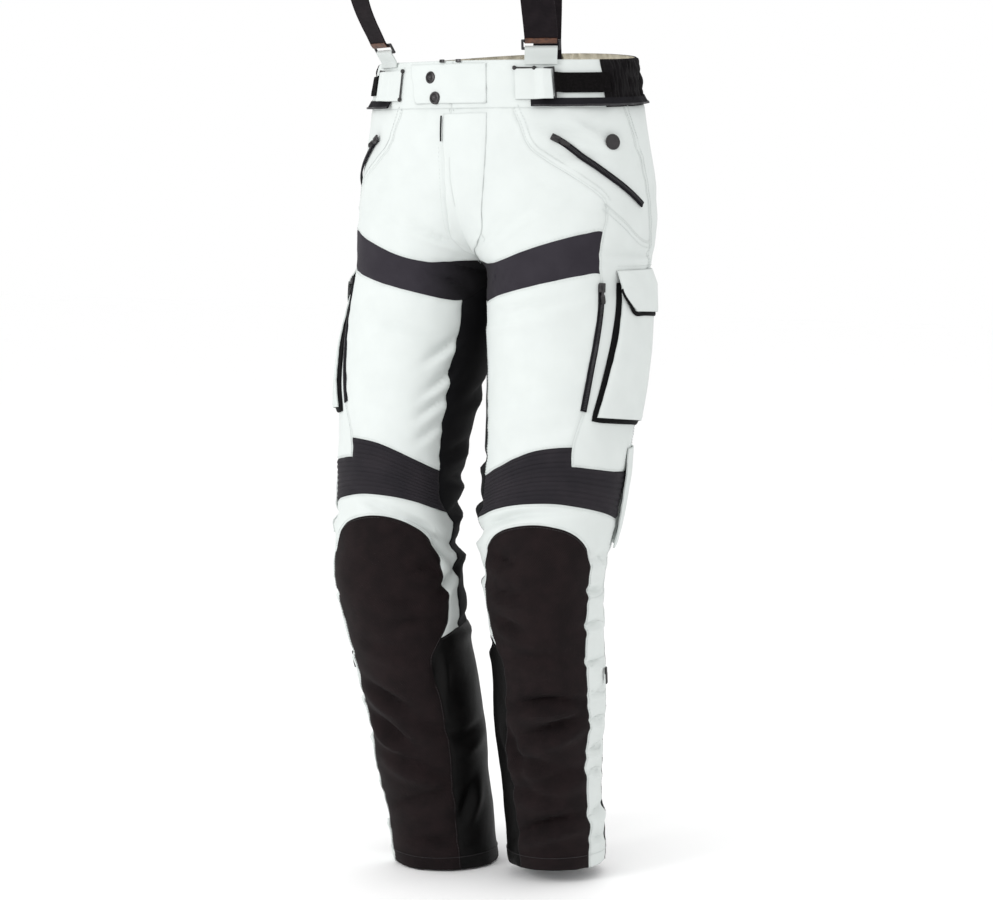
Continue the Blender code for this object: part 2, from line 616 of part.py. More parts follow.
def overlay_place(leg, table, column_from, column_to, across, down):
    """Chart place inside an overlay's rows of (left u, left depth, right u, right depth)."""
    keys = np.linspace(0, 1, len(table))
    values = [float(curve(list(zip(keys, [row[n] for row in table])), down)) for n in range(4)]
    part = column_from + across * (column_to - column_from)
    u = values[0] * (1 - part) + values[2] * part
    depth = values[1] * (1 - part) + values[3] * part
    return u, depth


def add_overlay(leg, name, material, table, columns, rows, height, wall=WALL):
    """A piece that lies on the cloth; height(across, down) is its inner face above it."""
    bm = new_sheet()

    def place(across, down):
        u, depth = overlay_place(leg, table, 0, 1, across, down)
        point, normal = on_cloth(leg, u, depth)
        return point + normal * (height(across, down) + wall), normal, wall

    add_cells(bm, columns, rows, place)
    close_sheet(bm, f"{leg}_{name}", material)


def pocket_height(across, down):
    """Inner face of the pocket's front above the cloth."""
    middle = np.sin(np.pi * np.clip(across, 0, 1))**0.5
    fill = np.interp(down, (0.0, 0.15, 0.6, 1.0), (0.45, 0.75, 1.0, 0.8))
    return POCKET_DEPTH * fill * (0.8 + 0.4 * middle)


def flap_height(across, down):
    """Inner face of the flap above the cloth, clear of the pocket's front."""
    return float(np.interp(down, (0.0, 0.34, 1.0), FLAP_RISE))


def tab_height(across, down):
    return float(np.interp(down, (0.0, 0.3, 1.0), (0.0019, 0.0030, 0.0026)))


def add_bellows(leg):
    """The pocket's folded side, round its front edge, its bottom and its back edge."""
    bm = new_sheet()
    path = [(0.0, 0.0), (0.0, 0.25), (0.0, 0.5), (0.0, 0.75), (0.0, 1.0), (0.25, 1.0), (0.5, 1.0),
            (0.75, 1.0), (1.0, 1.0), (1.0, 0.75), (1.0, 0.5), (1.0, 0.25), (1.0, 0.0)]

    def outline(step, share):
        """Point of the bellows at a step of its path, from the cloth (0) to the front (1)."""
        across, down = path[step]
        u, depth = overlay_place(leg, POCKET_FRONT, 0, 1, across, down)
        out_u = {0.0: -1, 1.0: 1}.get(across, 0) * 0.011 * (1 - share)
        out_depth = (0.007 if down == 1.0 else 0.0) * (1 - share)
        point, normal = on_cloth(leg, u + out_u, depth + out_depth)
        rim = pocket_height(across, down) - BELLOWS_RIM
        foot = BELLOWS_FOOT[0] * (1 - across) + BELLOWS_FOOT[1] * across
        return point + normal * (foot + (rim - foot) * share)

    steps = len(path) - 1

    def place(across, down):
        step = round(across * steps)
        before, after = outline(max(step - 1, 0), down), outline(min(step + 1, steps), down)
        rise_line = outline(step, 1.0) - outline(step, 0.0)
        normal = np.cross(rise_line, after - before)
        normal = normal / np.linalg.norm(normal) * SIGN[leg]
        return outline(step, down), normal, 0.0012

    add_cells(bm, steps, 1, place)
    close_sheet(bm, f"{leg}_pocket_bellows", "black_stretch")


def add_pocket(leg):
    add_overlay(leg, "pocket_front", "white_cloth", POCKET_FRONT, 6, 8, pocket_height)
    add_bellows(leg)
    add_overlay(leg, "pocket_flap", "white_cloth", POCKET_FLAP, 6, 4, flap_height)


def add_middle_overlay(name, table, columns, rows, height):
    """A piece across the front's middle line, of a right part and a left part."""
    bm = new_sheet()
    for leg, edge, parts in (("right", 0, columns[0]), ("left", 2, columns[1])):

        def place(across, down):
            u, depth = overlay_place(leg, table, 0, 1, edge / 2, down)
            point, normal = middle_fixed(*on_cloth(leg, u * across, depth))
            lift = height * (1 + down) + OVERLAY_WALL
            return point + normal * lift, normal, OVERLAY_WALL

        add_cells(bm, parts, rows, place)
    close_sheet(bm, name, "white_cloth")


def zip_frame(leg, table, share):
    """Point, normal and direction of a zip's line, at a share of its length."""
    keys = np.linspace(0, 1, len(table))

    def at(t):
        u = float(curve(list(zip(keys, [row[0] for row in table])), t))
        depth = float(curve(list(zip(keys, [row[1] for row in table])), t))
        return on_cloth(leg, u, depth)

    point, normal = at(share)
    along = at(min(share + 0.02, 1))[0] - at(max(share - 0.02, 0))[0]
    along = along - along.dot(normal) * normal
    return point, normal, along / np.linalg.norm(along)


def add_zip(leg, name, rise_up, pull_length, table):
    """Zip tape with its slider, and the pull tab that swings on the slider's nose."""
    ends = [zip_frame(leg, table, share)[0] for share in np.linspace(0, 1, 21)]
    length = sum(np.linalg.norm(b - a) for a, b in zip(ends, ends[1:]))
    slider = SLIDER_LENGTH / length
    plain = [float(t) for t in np.linspace(slider + 0.006, 1, 11)]
    shares = [0.0, 0.004, slider, slider + 0.003] + plain
    bm = new_sheet()
    count = len(shares) - 1

    def place(across, down):
        k = round(down * count)
        point, normal, along = zip_frame(leg, table, shares[k])
        side = np.cross(normal, along) * (across - 0.5) * TAPE_WIDTH
        wall = TAPE_THICK + (SLIDER_THICK if k in (1, 2) else 0.0)
        return point + side + normal * (rise_up + wall), normal, wall

    add_cells(bm, 1, count, place)
    close_sheet(bm, f"{leg}_{name}", "black_tape")
    add_pull(leg, name, rise_up, pull_length, table, slider)


def pull_frame(leg, rise_up, pull_length, table, slider):
    """Hinge point of a pull tab, with its directions along, across and away from the cloth."""
    point, normal, along = zip_frame(leg, table, slider)
    along = zip_frame(leg, table, slider + 0.5 * pull_length / 0.15)[2]
    along = along - along.dot(normal) * normal
    along = along / np.linalg.norm(along) + PULL_TILT * normal
    along = along / np.linalg.norm(along)
    side = np.cross(normal, along)
    side = side / np.linalg.norm(side)
    normal = np.cross(along, side)
    lift = rise_up + TAPE_THICK + PULL_CLEAR
    return point + along * (PULL_CLEAR + 0.0004) + normal * lift, along, side, normal


def add_pull(leg, name, rise_up, pull_length, table, slider):
    pivot, along, side, normal = pull_frame(leg, rise_up, pull_length, table, slider)
    bm = new_sheet()
    widths = (0.5, 1.0, 1.0, 0.7)
    places = (-0.0006, 0.003, pull_length - 0.003, pull_length)

    def place(across, down):
        k = round(down * 3)
        edge = side * (across - 0.5) * PULL_WIDTH * widths[k]
        return pivot + along * places[k] + edge + normal * PULL_THICK / 2, normal, PULL_THICK

    add_cells(bm, 1, 3, place)
    close_sheet(bm, f"{leg}_{name}_pull", "black_metal", pivot=pivot)


def add_jacket_zip():
    """The jacket's connection tape below the waistband, from one side of the front to the other."""
    bm = new_sheet()
    first = dict(COLUMN_LINES)["side_front"] + 1
    for leg in LEGS:
        places = [JACKET_ZIP_START] + list(BAND_LINES[leg][first:])

        def place(across, down):
            u = places[round(across * (len(places) - 1))]
            depth = JACKET_ZIP_DEPTHS[round(down)]
            point, normal = middle_fixed(*on_band(leg, u, depth))
            return point + normal * (JACKET_ZIP_RISE + OVERLAY_WALL), normal, OVERLAY_WALL

        add_cells(bm, len(places) - 1, 1, place)
    close_sheet(bm, "jacket_zip_tape", "black_tape")


def add_frame(name, material, centre, wide, high, size, bar):
    """A rectangular ring of flat bar in the plane of wide and high."""
    bm = new_sheet()
    wide = np.array(wide) / np.linalg.norm(wide)
    high = np.array(high) / np.linalg.norm(high)
    normal = np.cross(wide, high)

    def place(across, down):
        x = (0.0, bar, size[0] - bar, size[0])[round(across * 3)] - size[0] / 2
        y = (0.0, bar, size[1] - bar, size[1])[round(down * 3)] - size[1] / 2
        return np.array(centre) + wide * x - high * y + normal * bar / 2, normal, bar

    add_cells(bm, 3, 3, place)
    middle = np.array(centre) + normal * bar / 2
    hole = [face for face in bm.faces
            if (face.calc_center_median() - Vector(middle)).length < min(size) / 8]
    bmesh.ops.delete(bm, geom=hole, context="FACES")
    close_sheet(bm, name, material)


def add_adjusters():
    for leg in LEGS:
        add_overlay(leg, "adjuster_tab", "white_cloth", ADJUSTER_TAB, 3, 1,
                    lambda across, down: 0.0010 + 0.0019 * down, 0.0014)
        add_overlay(leg, "adjuster_strap", "black_elastic", ADJUSTER_STRAP, 5, 1,
                    lambda across, down: 0.0010, 0.0014)
        point, normal = on_band(leg, 0.233, 0.0)
        down = cloth(leg, 0.233, 0.02) - cloth(leg, 0.233, -0.02)
        add_frame(f"{leg}_adjuster_ring", "black_plastic", point + normal * 0.0062,
                  np.cross(normal, down), down, (0.014, 0.040), 0.0022)


def brace_rows(leg):
    """A brace's whole table, the left one with its foot inside the back of the waistband."""
    rows = BRACE_FRONT + BRACE_BACK[leg]
    if leg == "left":
        u = 1 + BRACE_FOOT_X / (np.pi * WAIST_HALF_WIDTH)
        for depth in BRACE_FOOT_DEPTHS:
            point, normal = on_band("right", u, depth)
            inside = point - normal * (WALL + STRAP_THICK + BRACE_FOOT_CLEAR)
            rows.append(tuple(inside) + BRACE_FOOT_WIDE)
    return rows


BRACE_ROWS = {leg: brace_rows(leg) for leg in LEGS}


def brace_line(leg, share):
    sign = SIGN[leg]
    keys = np.linspace(0, 1, len(BRACE_ROWS[leg]))
    values = [float(curve(list(zip(keys, [row[n] for row in BRACE_ROWS[leg]])), share))
              for n in range(6)]
    point = np.array([sign * values[0], values[1], values[2]])
    wide = np.array([values[3], sign * values[4], sign * values[5]])
    return point, wide / np.linalg.norm(wide)


def add_brace(leg):
    """Elastic strap over the shoulder, its ring and the cloth loop that holds the ring."""
    sign = SIGN[leg]
    bm = new_sheet()

    def place(across, down):
        point, wide = brace_line(leg, down)
        along = brace_line(leg, min(down + 0.01, 1))[0] - brace_line(leg, max(down - 0.01, 0))[0]
        normal = np.cross(along, wide)
        normal = normal / np.linalg.norm(normal)
        return point + wide * (across - 0.5) * STRAP_WIDTH, normal, STRAP_THICK

    add_cells(bm, 2, 34, place)
    close_sheet(bm, f"{leg}_brace", "black_elastic")
    at = np.array([sign * RING_AT[0], RING_AT[1], RING_AT[2]])
    wide = np.array([RING_WIDE[0], sign * RING_WIDE[1], 0.0])
    wide = wide / np.linalg.norm(wide)
    high = np.array([sign * 0.25, -0.45, 0.86])
    facing = np.cross(wide, high)
    facing = facing / np.linalg.norm(facing)
    add_frame(f"{leg}_brace_ring", "black_plastic", at, wide, high, RING_SIZE, RING_BAR)
    bm = new_sheet()

    def loop(across, down):
        foot, normal = on_band(leg, 0.215, -0.0245)
        ahead = RING_BAR / 2 + LOOP_WALL + 0.0005
        head = at - high * (RING_SIZE[1] / 2 - RING_BAR) + facing * ahead
        low = foot + normal * 0.0030
        rim = on_band(leg, 0.215, -0.030)[0] + normal * 0.0030
        spine = (low, rim, head)[round(down * 2)]
        return spine + wide * (across - 0.5) * STRAP_WIDTH * 0.98, normal, LOOP_WALL

    add_cells(bm, 2, 2, loop)
    close_sheet(bm, f"{leg}_brace_loop", "white_cloth")


def main():
    for thing in list(bpy.data.objects):
        bpy.data.objects.remove(thing)
    home = bpy.data.collections.new("motorcycle_trousers")
    bpy.context.scene.collection.children.link(home)
    for name, colour in MATERIALS.items():
        material = bpy.data.materials.new(name)
        material.use_nodes = True
        material.node_tree.nodes["Principled BSDF"].inputs["Base Color"].default_value = colour
        material.node_tree.nodes["Principled BSDF"].inputs["Roughness"].default_value = 0.8
    for leg in LEGS:
        for name, material, blocks in PANELS:
            add_panel(leg, name, material, blocks)
    add_band()
    add_middle_overlay("closure_tab", CLOSURE_TAB, (4, 3), 1, 0.0010)
    add_middle_overlay("fly_placket", FLY_PLACKET, (3, 4), 8, 0.0016)
    for leg in LEGS:
        add_pocket(leg)
        add_overlay(leg, "back_knee_tab", "white_cloth", BACK_KNEE_TAB, 4, 8, tab_height)
        for name, rise_up, pull_length, table in ZIPS:
            add_zip(leg, name, rise_up, pull_length, table)
        add_brace(leg)
    add_jacket_zip()
    add_adjusters()


main()
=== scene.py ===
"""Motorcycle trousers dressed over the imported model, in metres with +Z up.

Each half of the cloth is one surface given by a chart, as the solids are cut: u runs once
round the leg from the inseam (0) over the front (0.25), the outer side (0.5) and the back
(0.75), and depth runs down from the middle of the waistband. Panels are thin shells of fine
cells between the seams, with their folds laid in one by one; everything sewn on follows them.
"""

import json
import math

import bmesh
import bpy
import numpy as np
from mathutils import Matrix, Vector, noise


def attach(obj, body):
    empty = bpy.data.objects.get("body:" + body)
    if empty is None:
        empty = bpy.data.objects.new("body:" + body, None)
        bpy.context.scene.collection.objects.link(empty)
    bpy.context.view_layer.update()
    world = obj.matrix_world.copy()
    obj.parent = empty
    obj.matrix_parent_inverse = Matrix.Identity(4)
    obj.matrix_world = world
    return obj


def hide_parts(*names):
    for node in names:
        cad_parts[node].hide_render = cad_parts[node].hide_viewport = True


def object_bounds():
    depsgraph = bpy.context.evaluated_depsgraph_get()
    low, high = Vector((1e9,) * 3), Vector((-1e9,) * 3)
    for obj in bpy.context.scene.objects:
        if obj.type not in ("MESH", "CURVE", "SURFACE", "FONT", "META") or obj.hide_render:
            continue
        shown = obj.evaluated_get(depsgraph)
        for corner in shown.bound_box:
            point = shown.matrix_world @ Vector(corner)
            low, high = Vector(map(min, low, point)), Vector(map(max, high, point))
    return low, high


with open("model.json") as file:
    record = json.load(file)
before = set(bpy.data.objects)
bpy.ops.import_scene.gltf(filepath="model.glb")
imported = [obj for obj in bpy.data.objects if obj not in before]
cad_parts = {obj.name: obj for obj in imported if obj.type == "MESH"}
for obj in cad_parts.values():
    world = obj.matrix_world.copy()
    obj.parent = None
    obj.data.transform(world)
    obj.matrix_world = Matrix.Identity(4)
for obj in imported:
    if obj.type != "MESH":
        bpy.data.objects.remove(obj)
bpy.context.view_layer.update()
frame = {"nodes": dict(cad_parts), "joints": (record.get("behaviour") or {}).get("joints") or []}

BODY = "trousers"
MM = 0.001
# Metres of weave once round a leg, for a step of 1 in u.
CHART_ROUND = 0.5
# Cloth.
CLOTH_WALL = 0.0016
CELLS = 6
RIB_CELLS = 28
EDGE_CELL = 0.10
SEAM_DIP = 0.0009
SEAM_DIP_REACH = 0.0022
PUCKER = 0.0006
PUCKER_REACH = 0.010
# Waist, hip and hem, as in the solids.
WAIST_HALF_WIDTH = 0.193
WAIST_HALF_DEPTH = 0.132
WAIST_BACK_RISE = 0.018
BAND_HALF = 0.030
BAND_TAPER = (0.06, 0.03)
CROTCH_DEPTH = 0.240
HEM_DEPTH = {"right": 1.036, "left": 1.020}
CROTCH_BACK = 0.012
CROTCH_EASE = 0.020
HIP_BULGE = 0.012
SEAT_BULGE = 0.008
NORMAL_STEP = 0.006
FOLD_DEPTH = {"trunk": 1.7, "leg": 2.7}
RIDGE_SHARE = 0.6
RIDGE_PLACE = 1.8
RIDGE_SPREAD = 1.4
LEG_WAVE = 0.0030
RIB_HEIGHT = 0.0014
RIBS_A_ROW = 4

SIGN = {"right": -1.0, "left": 1.0}

# Leg sections: depth, x, y, half width, half depth, turn in degrees.
LEGS = {
    "right": [
        (0.240, -0.1020, -0.012, 0.1020, 0.116, 0.0),
        (0.300, -0.1060, -0.030, 0.1000, 0.112, 4.0),
        (0.380, -0.1120, -0.052, 0.0955, 0.106, 9.0),
        (0.470, -0.1120, -0.075, 0.0850, 0.098, 14.0),
        (0.560, -0.1080, -0.094, 0.0810, 0.090, 17.0),
        (0.630, -0.1060, -0.100, 0.0855, 0.088, 17.0),
        (0.700, -0.0995, -0.090, 0.0830, 0.086, 17.0),
        (0.800, -0.0890, -0.070, 0.0785, 0.082, 17.0),
        (0.900, -0.0860, -0.048, 0.0755, 0.077, 17.0),
        (0.970, -0.0820, -0.035, 0.0715, 0.073, 17.0),
        (1.040, -0.0780, -0.026, 0.0690, 0.070, 17.0),
    ],
    "left": [
        (0.240, 0.1020, -0.012, 0.1020, 0.116, 0.0),
        (0.300, 0.1050, -0.020, 0.1010, 0.112, 4.0),
        (0.380, 0.1090, -0.034, 0.0980, 0.106, 9.0),
        (0.470, 0.1100, -0.052, 0.0940, 0.098, 14.0),
        (0.560, 0.1080, -0.070, 0.0895, 0.090, 17.0),
        (0.630, 0.1050, -0.074, 0.0770, 0.086, 17.0),
        (0.700, 0.1030, -0.066, 0.0750, 0.082, 17.0),
        (0.800, 0.0965, -0.046, 0.0735, 0.078, 17.0),
        (0.900, 0.0865, -0.026, 0.0665, 0.073, 17.0),
        (0.970, 0.0850, -0.014, 0.0650, 0.070, 17.0),
        (1.040, 0.0830, -0.006, 0.0630, 0.068, 17.0),
    ],
}

# Folds laid in one by one: u, depth in metres and tilt in degrees; then half length, half width and
# height in millimetres and, where the fold curves, its bend.
FOLDS = {
    "right": [
        # Trunk and thigh.
        (0.208, 0.110, 14, 80, 10, -1.4), (0.143, 0.159, -12, 43, 7, -1.6),
        (0.085, 0.166, -4, 30, 6, -1.6), (0.300, 0.150, 20, 45, 10, -1.4),
        (0.105, 0.252, -25, 26, 6, -2.2), (0.085, 0.225, -20, 24, 5, -1.8),
        (0.118, 0.338, 34, 26, 6, -2.8), (0.116, 0.379, 36, 26, 6, -2.6),
        (0.126, 0.411, 33, 24, 6, -2.2), (0.130, 0.445, 28, 20, 6, -1.8),
        (0.230, 0.300, -8, 50, 10, -1.2),
        # Knee and shin.
        (0.233, 0.546, -25, 40, 7, -2.2), (0.135, 0.566, -29, 32, 6, -3.4),
        (0.085, 0.600, -40, 30, 6, -3.2), (0.060, 0.640, 35, 26, 6, -3.2),
        (0.208, 0.572, 1, 22, 6, -1.8), (0.134, 0.622, 10, 26, 7, -2.6),
        (0.197, 0.667, 0, 24, 7, -2.2), (0.185, 0.690, 4, 24, 6, -1.8),
        (0.240, 0.730, -10, 40, 9, -1.6), (0.298, 0.798, -26, 36, 9, -4.6),
        (0.311, 0.846, -31, 34, 9, -5.2), (0.254, 0.887, -20, 40, 9, -4),
        (0.190, 0.835, -14, 36, 9, -2.6), (0.200, 0.930, 12, 36, 9, -2.6),
        (0.300, 0.945, 16, 30, 8, -2.8), (0.226, 0.997, 1, 32, 7, -3),
        (0.147, 0.767, 80, 22, 6, -2), (0.115, 0.945, 60, 30, 8, -2.6),
        (0.070, 0.850, 20, 30, 9, -2),
        # Outer strip, inseam and back.
        (0.470, 0.560, 6, 26, 7, -2.4), (0.465, 0.660, -6, 22, 5, -2),
        (0.470, 0.745, 8, 22, 5, -2), (0.470, 0.800, -4, 22, 5, -2.2),
        (0.465, 0.856, 10, 22, 5, -2.2), (0.470, 0.915, -8, 22, 5, -2),
        (0.470, 0.975, 4, 22, 6, -2), (0.020, 0.470, 8, 34, 7, -2.8),
        (0.000, 0.510, -6, 36, 7, -3.2), (0.985, 0.550, 8, 36, 7, -3.4),
        (0.990, 0.600, -8, 36, 8, -3.4), (0.990, 0.700, 6, 34, 8, -2.6),
        (0.970, 0.400, 14, 34, 8, -2.4), (0.780, 0.560, 6, 70, 10, -4.6),
        (0.800, 0.600, -5, 80, 11, -5.6), (0.760, 0.640, 9, 70, 10, -4.4),
        (0.800, 0.520, -10, 50, 9, -3), (0.750, 0.800, -6, 50, 10, -3),
        (0.720, 0.870, 10, 45, 10, -3.2), (0.760, 0.950, -6, 45, 10, -3.4),
        (0.820, 0.290, -24, 60, 10, -3.4), (0.780, 0.330, -18, 60, 11, -2.6),
        (0.700, 0.160, 10, 60, 12, -1.8), (0.880, 0.200, -34, 45, 9, -2.4),
    ],
    "left": [
        # Trunk and thigh.
        (0.295, 0.060, 15, 48, 6, -2), (0.345, 0.053, 23, 26, 5, -2),
        (0.420, 0.070, 20, 40, 8, -2), (0.330, 0.088, 10, 30, 6, -1.2),
        (0.184, 0.151, -10, 28, 6, -1.4), (0.201, 0.163, -30, 32, 6, -1.6),
        (0.135, 0.170, -20, 24, 5, -1.6), (0.296, 0.124, 24, 34, 8, -1),
        (0.243, 0.281, -9, 60, 6, -1.8), (0.211, 0.295, -8, 52, 5, -1.6),
        (0.224, 0.389, -12, 34, 8, -1.2), (0.250, 0.435, -6, 40, 10, -1),
        (0.490, 0.215, 2, 50, 5, -2),
        # Knee and shin.
        (0.168, 0.549, -16, 36, 6, -3.4), (0.260, 0.538, -4, 36, 6, -1.4),
        (0.182, 0.643, 0, 30, 7, -3.4), (0.170, 0.600, 10, 26, 7, -3.4),
        (0.178, 0.683, 14, 24, 7, -3.1), (0.281, 0.785, -3, 48, 8, -6.4, 3.0),
        (0.290, 0.822, -21, 44, 9, -5.6), (0.240, 0.870, 8, 40, 9, -3.4),
        (0.320, 0.890, -12, 36, 9, -3.4), (0.273, 0.955, -14, 46, 8, -6.2, 1.5),
        (0.230, 0.915, 10, 36, 8, -2.8), (0.250, 0.725, -6, 40, 9, -2.2),
        (0.170, 0.850, 70, 40, 8, -2.5),
        # Outer strip, inseam and back.
        (0.462, 0.600, 4, 24, 5, -2.2), (0.459, 0.642, 6, 24, 5, -2.4),
        (0.452, 0.686, -4, 24, 5, -2.6), (0.450, 0.737, 5, 24, 4, -2.4),
        (0.455, 0.778, -8, 22, 5, -2), (0.452, 0.816, 6, 24, 5, -3),
        (0.462, 0.856, -6, 24, 5, -2.8), (0.470, 0.889, 8, 22, 5, -2.6),
        (0.478, 0.946, -10, 24, 6, -3.2), (0.475, 0.982, 6, 22, 6, -2.6),
        (0.020, 0.480, -8, 34, 7, -2.8), (0.010, 0.530, 6, 36, 7, -3),
        (0.030, 0.575, -12, 34, 7, -3.4), (0.990, 0.620, 6, 36, 8, -3.6),
        (0.990, 0.720, -6, 34, 8, -2.6), (0.970, 0.400, -14, 34, 8, -2.4),
        (0.780, 0.565, -5, 70, 10, -4.4), (0.790, 0.610, 6, 80, 11, -5.6),
        (0.760, 0.650, -8, 70, 10, -4.2), (0.800, 0.525, 10, 50, 9, -2.8),
        (0.750, 0.790, 6, 50, 10, -3), (0.730, 0.860, -9, 45, 10, -3.2),
        (0.750, 0.930, 6, 45, 10, -3.4), (0.820, 0.300, -22, 60, 10, -3.4),
        (0.780, 0.345, -16, 60, 11, -2.6), (0.710, 0.155, 8, 60, 12, -1.8),
        (0.880, 0.205, -32, 45, 9, -2.4),
    ],
}

# Seams round the body: name, cells of the solids down to it, (u, depth) rows.
ROWS = [
    ("waist", 0, [(0.0, 0.030), (1.0, 0.030)]),
    ("hip", 4, [(0.0, 0.085), (0.20, 0.105), (0.30, 0.120), (0.393, 0.147), (0.443, 0.170),
                (0.50, 0.195), (0.56, 0.200), (0.75, 0.160), (1.0, 0.130)]),
    ("band_top", 3, [(0.0, 0.188), (0.06, 0.199), (0.12, 0.213), (0.16, 0.217), (0.20, 0.213),
                     (0.25, 0.203), (0.32, 0.191), (0.37, 0.185), (0.403, 0.184), (0.443, 0.208),
                     (0.50, 0.232), (0.56, 0.236), (0.75, 0.210), (1.0, 0.190)]),
    ("band_bottom", 2, [(0.0, 0.240), (0.045, 0.262), (0.09, 0.276), (0.13, 0.274), (0.17, 0.268),
                        (0.25, 0.256), (0.31, 0.247), (0.365, 0.240), (0.405, 0.238),
                        (0.45, 0.258), (0.50, 0.270), (0.56, 0.272), (0.75, 0.256),
                        (0.91, 0.262), (0.955, 0.256), (1.0, 0.240)]),
    ("rib_top", 7, [(0.0, 0.500), (0.09, 0.497), (0.155, 0.482), (0.205, 0.469), (0.25, 0.4595),
                    (0.30, 0.455), (0.33, 0.4545), (0.40, 0.456), (0.50, 0.462), (0.75, 0.470),
                    (1.0, 0.500)]),
    ("rib_step", 1, [(0.0, 0.520), (0.09, 0.516), (0.155, 0.502), (0.205, 0.490), (0.25, 0.482),
                     (0.30, 0.479), (0.33, 0.479), (0.38, 0.483), (0.447, 0.489), (0.51, 0.492),
                     (0.75, 0.495), (1.0, 0.520)]),
    ("rib_bottom", 2, [(0.0, 0.560), (0.03, 0.557), (0.05, 0.554), (0.105, 0.545), (0.15, 0.536),
                       (0.20, 0.529), (0.25, 0.5255), (0.30, 0.5255), (0.35, 0.530), (0.41, 0.538),
                       (0.495, 0.552), (0.60, 0.560), (0.75, 0.560), (1.0, 0.560)]),
    ("arch", 2, [(0.0, 0.640), (0.06, 0.632), (0.091, 0.613), (0.105, 0.594), (0.13, 0.578),
                 (0.165, 0.565), (0.21, 0.5555), (0.26, 0.552), (0.30, 0.555), (0.335, 0.561),
                 (0.365, 0.571), (0.395, 0.588), (0.419, 0.612), (0.45, 0.622), (0.55, 0.625),
                 (0.75, 0.625), (1.0, 0.640)]),
    ("strip_top", 2, [(0.0, 0.672), (0.091, 0.668), (0.25, 0.655), (0.419, 0.650), (0.55, 0.650),
                      (0.75, 0.655), (1.0, 0.672)]),
    ("calf_top", 2, [(0.0, 0.705), (0.06, 0.707), (0.092, 0.711), (0.12, 0.716), (0.25, 0.708),
                     (0.42, 0.700), (0.55, 0.700), (0.75, 0.700), (1.0, 0.705)]),
    ("hem", 11, None),
]

# Seams down the leg: name, cells of the solids to it, (depth, u) rows.
COLUMNS = [
    ("front_middle", 0, [(0.03, 0.0), (1.04, 0.0)]),
    ("gusset_front", 3, [(0.03, 0.030), (0.087, 0.055), (0.147, 0.085), (0.20, 0.091),
                         (0.276, 0.091), (0.32, 0.088), (0.345, 0.094), (0.41, 0.096),
                         (0.457, 0.097), (0.50, 0.092), (0.545, 0.072), (0.556, 0.050),
                         (0.57, 0.036), (0.61, 0.030), (0.66, 0.030), (0.705, 0.034),
                         (0.75, 0.048), (1.04, 0.052)]),
    ("shin_inner", 3, [(0.03, 0.064), (0.087, 0.108), (0.147, 0.165), (0.20, 0.170), (0.45, 0.170),
                       (0.50, 0.163), (0.53, 0.140), (0.57, 0.106), (0.613, 0.091), (0.70, 0.092),
                       (0.716, 0.116), (0.735, 0.143), (0.80, 0.146), (0.87, 0.143),
                       (0.93, 0.150), (1.04, 0.157)]),
    ("side_front", 7, [(0.03, 0.141), (0.041, 0.155), (0.075, 0.205), (0.087, 0.241),
                       (0.118, 0.333), (0.145, 0.393), (0.165, 0.404), (0.184, 0.403),
                       (0.238, 0.405), (0.255, 0.407), (0.283, 0.401), (0.327, 0.385),
                       (0.361, 0.371), (0.41, 0.353), (0.4545, 0.330), (0.479, 0.330),
                       (0.50, 0.340), (0.53, 0.362), (0.56, 0.385), (0.60, 0.410), (0.62, 0.419),
                       (0.66, 0.420), (0.70, 0.412), (0.75, 0.408), (0.80, 0.413), (0.85, 0.408),
                       (0.90, 0.414), (1.04, 0.415)]),
    ("side_back", 5, [(0.03, 0.440), (0.12, 0.505), (0.20, 0.535), (0.44, 0.535), (0.49, 0.525),
                      (0.53, 0.502), (0.552, 0.498), (0.60, 0.512), (0.66, 0.530), (1.04, 0.530)]),
    ("gusset_back", 7, [(0.03, 0.930), (0.24, 0.910), (0.60, 0.910), (0.69, 0.895), (0.735, 0.860),
                        (1.04, 0.845)]),
    ("back_middle", 3, [(0.03, 1.0), (1.04, 1.0)]),
]

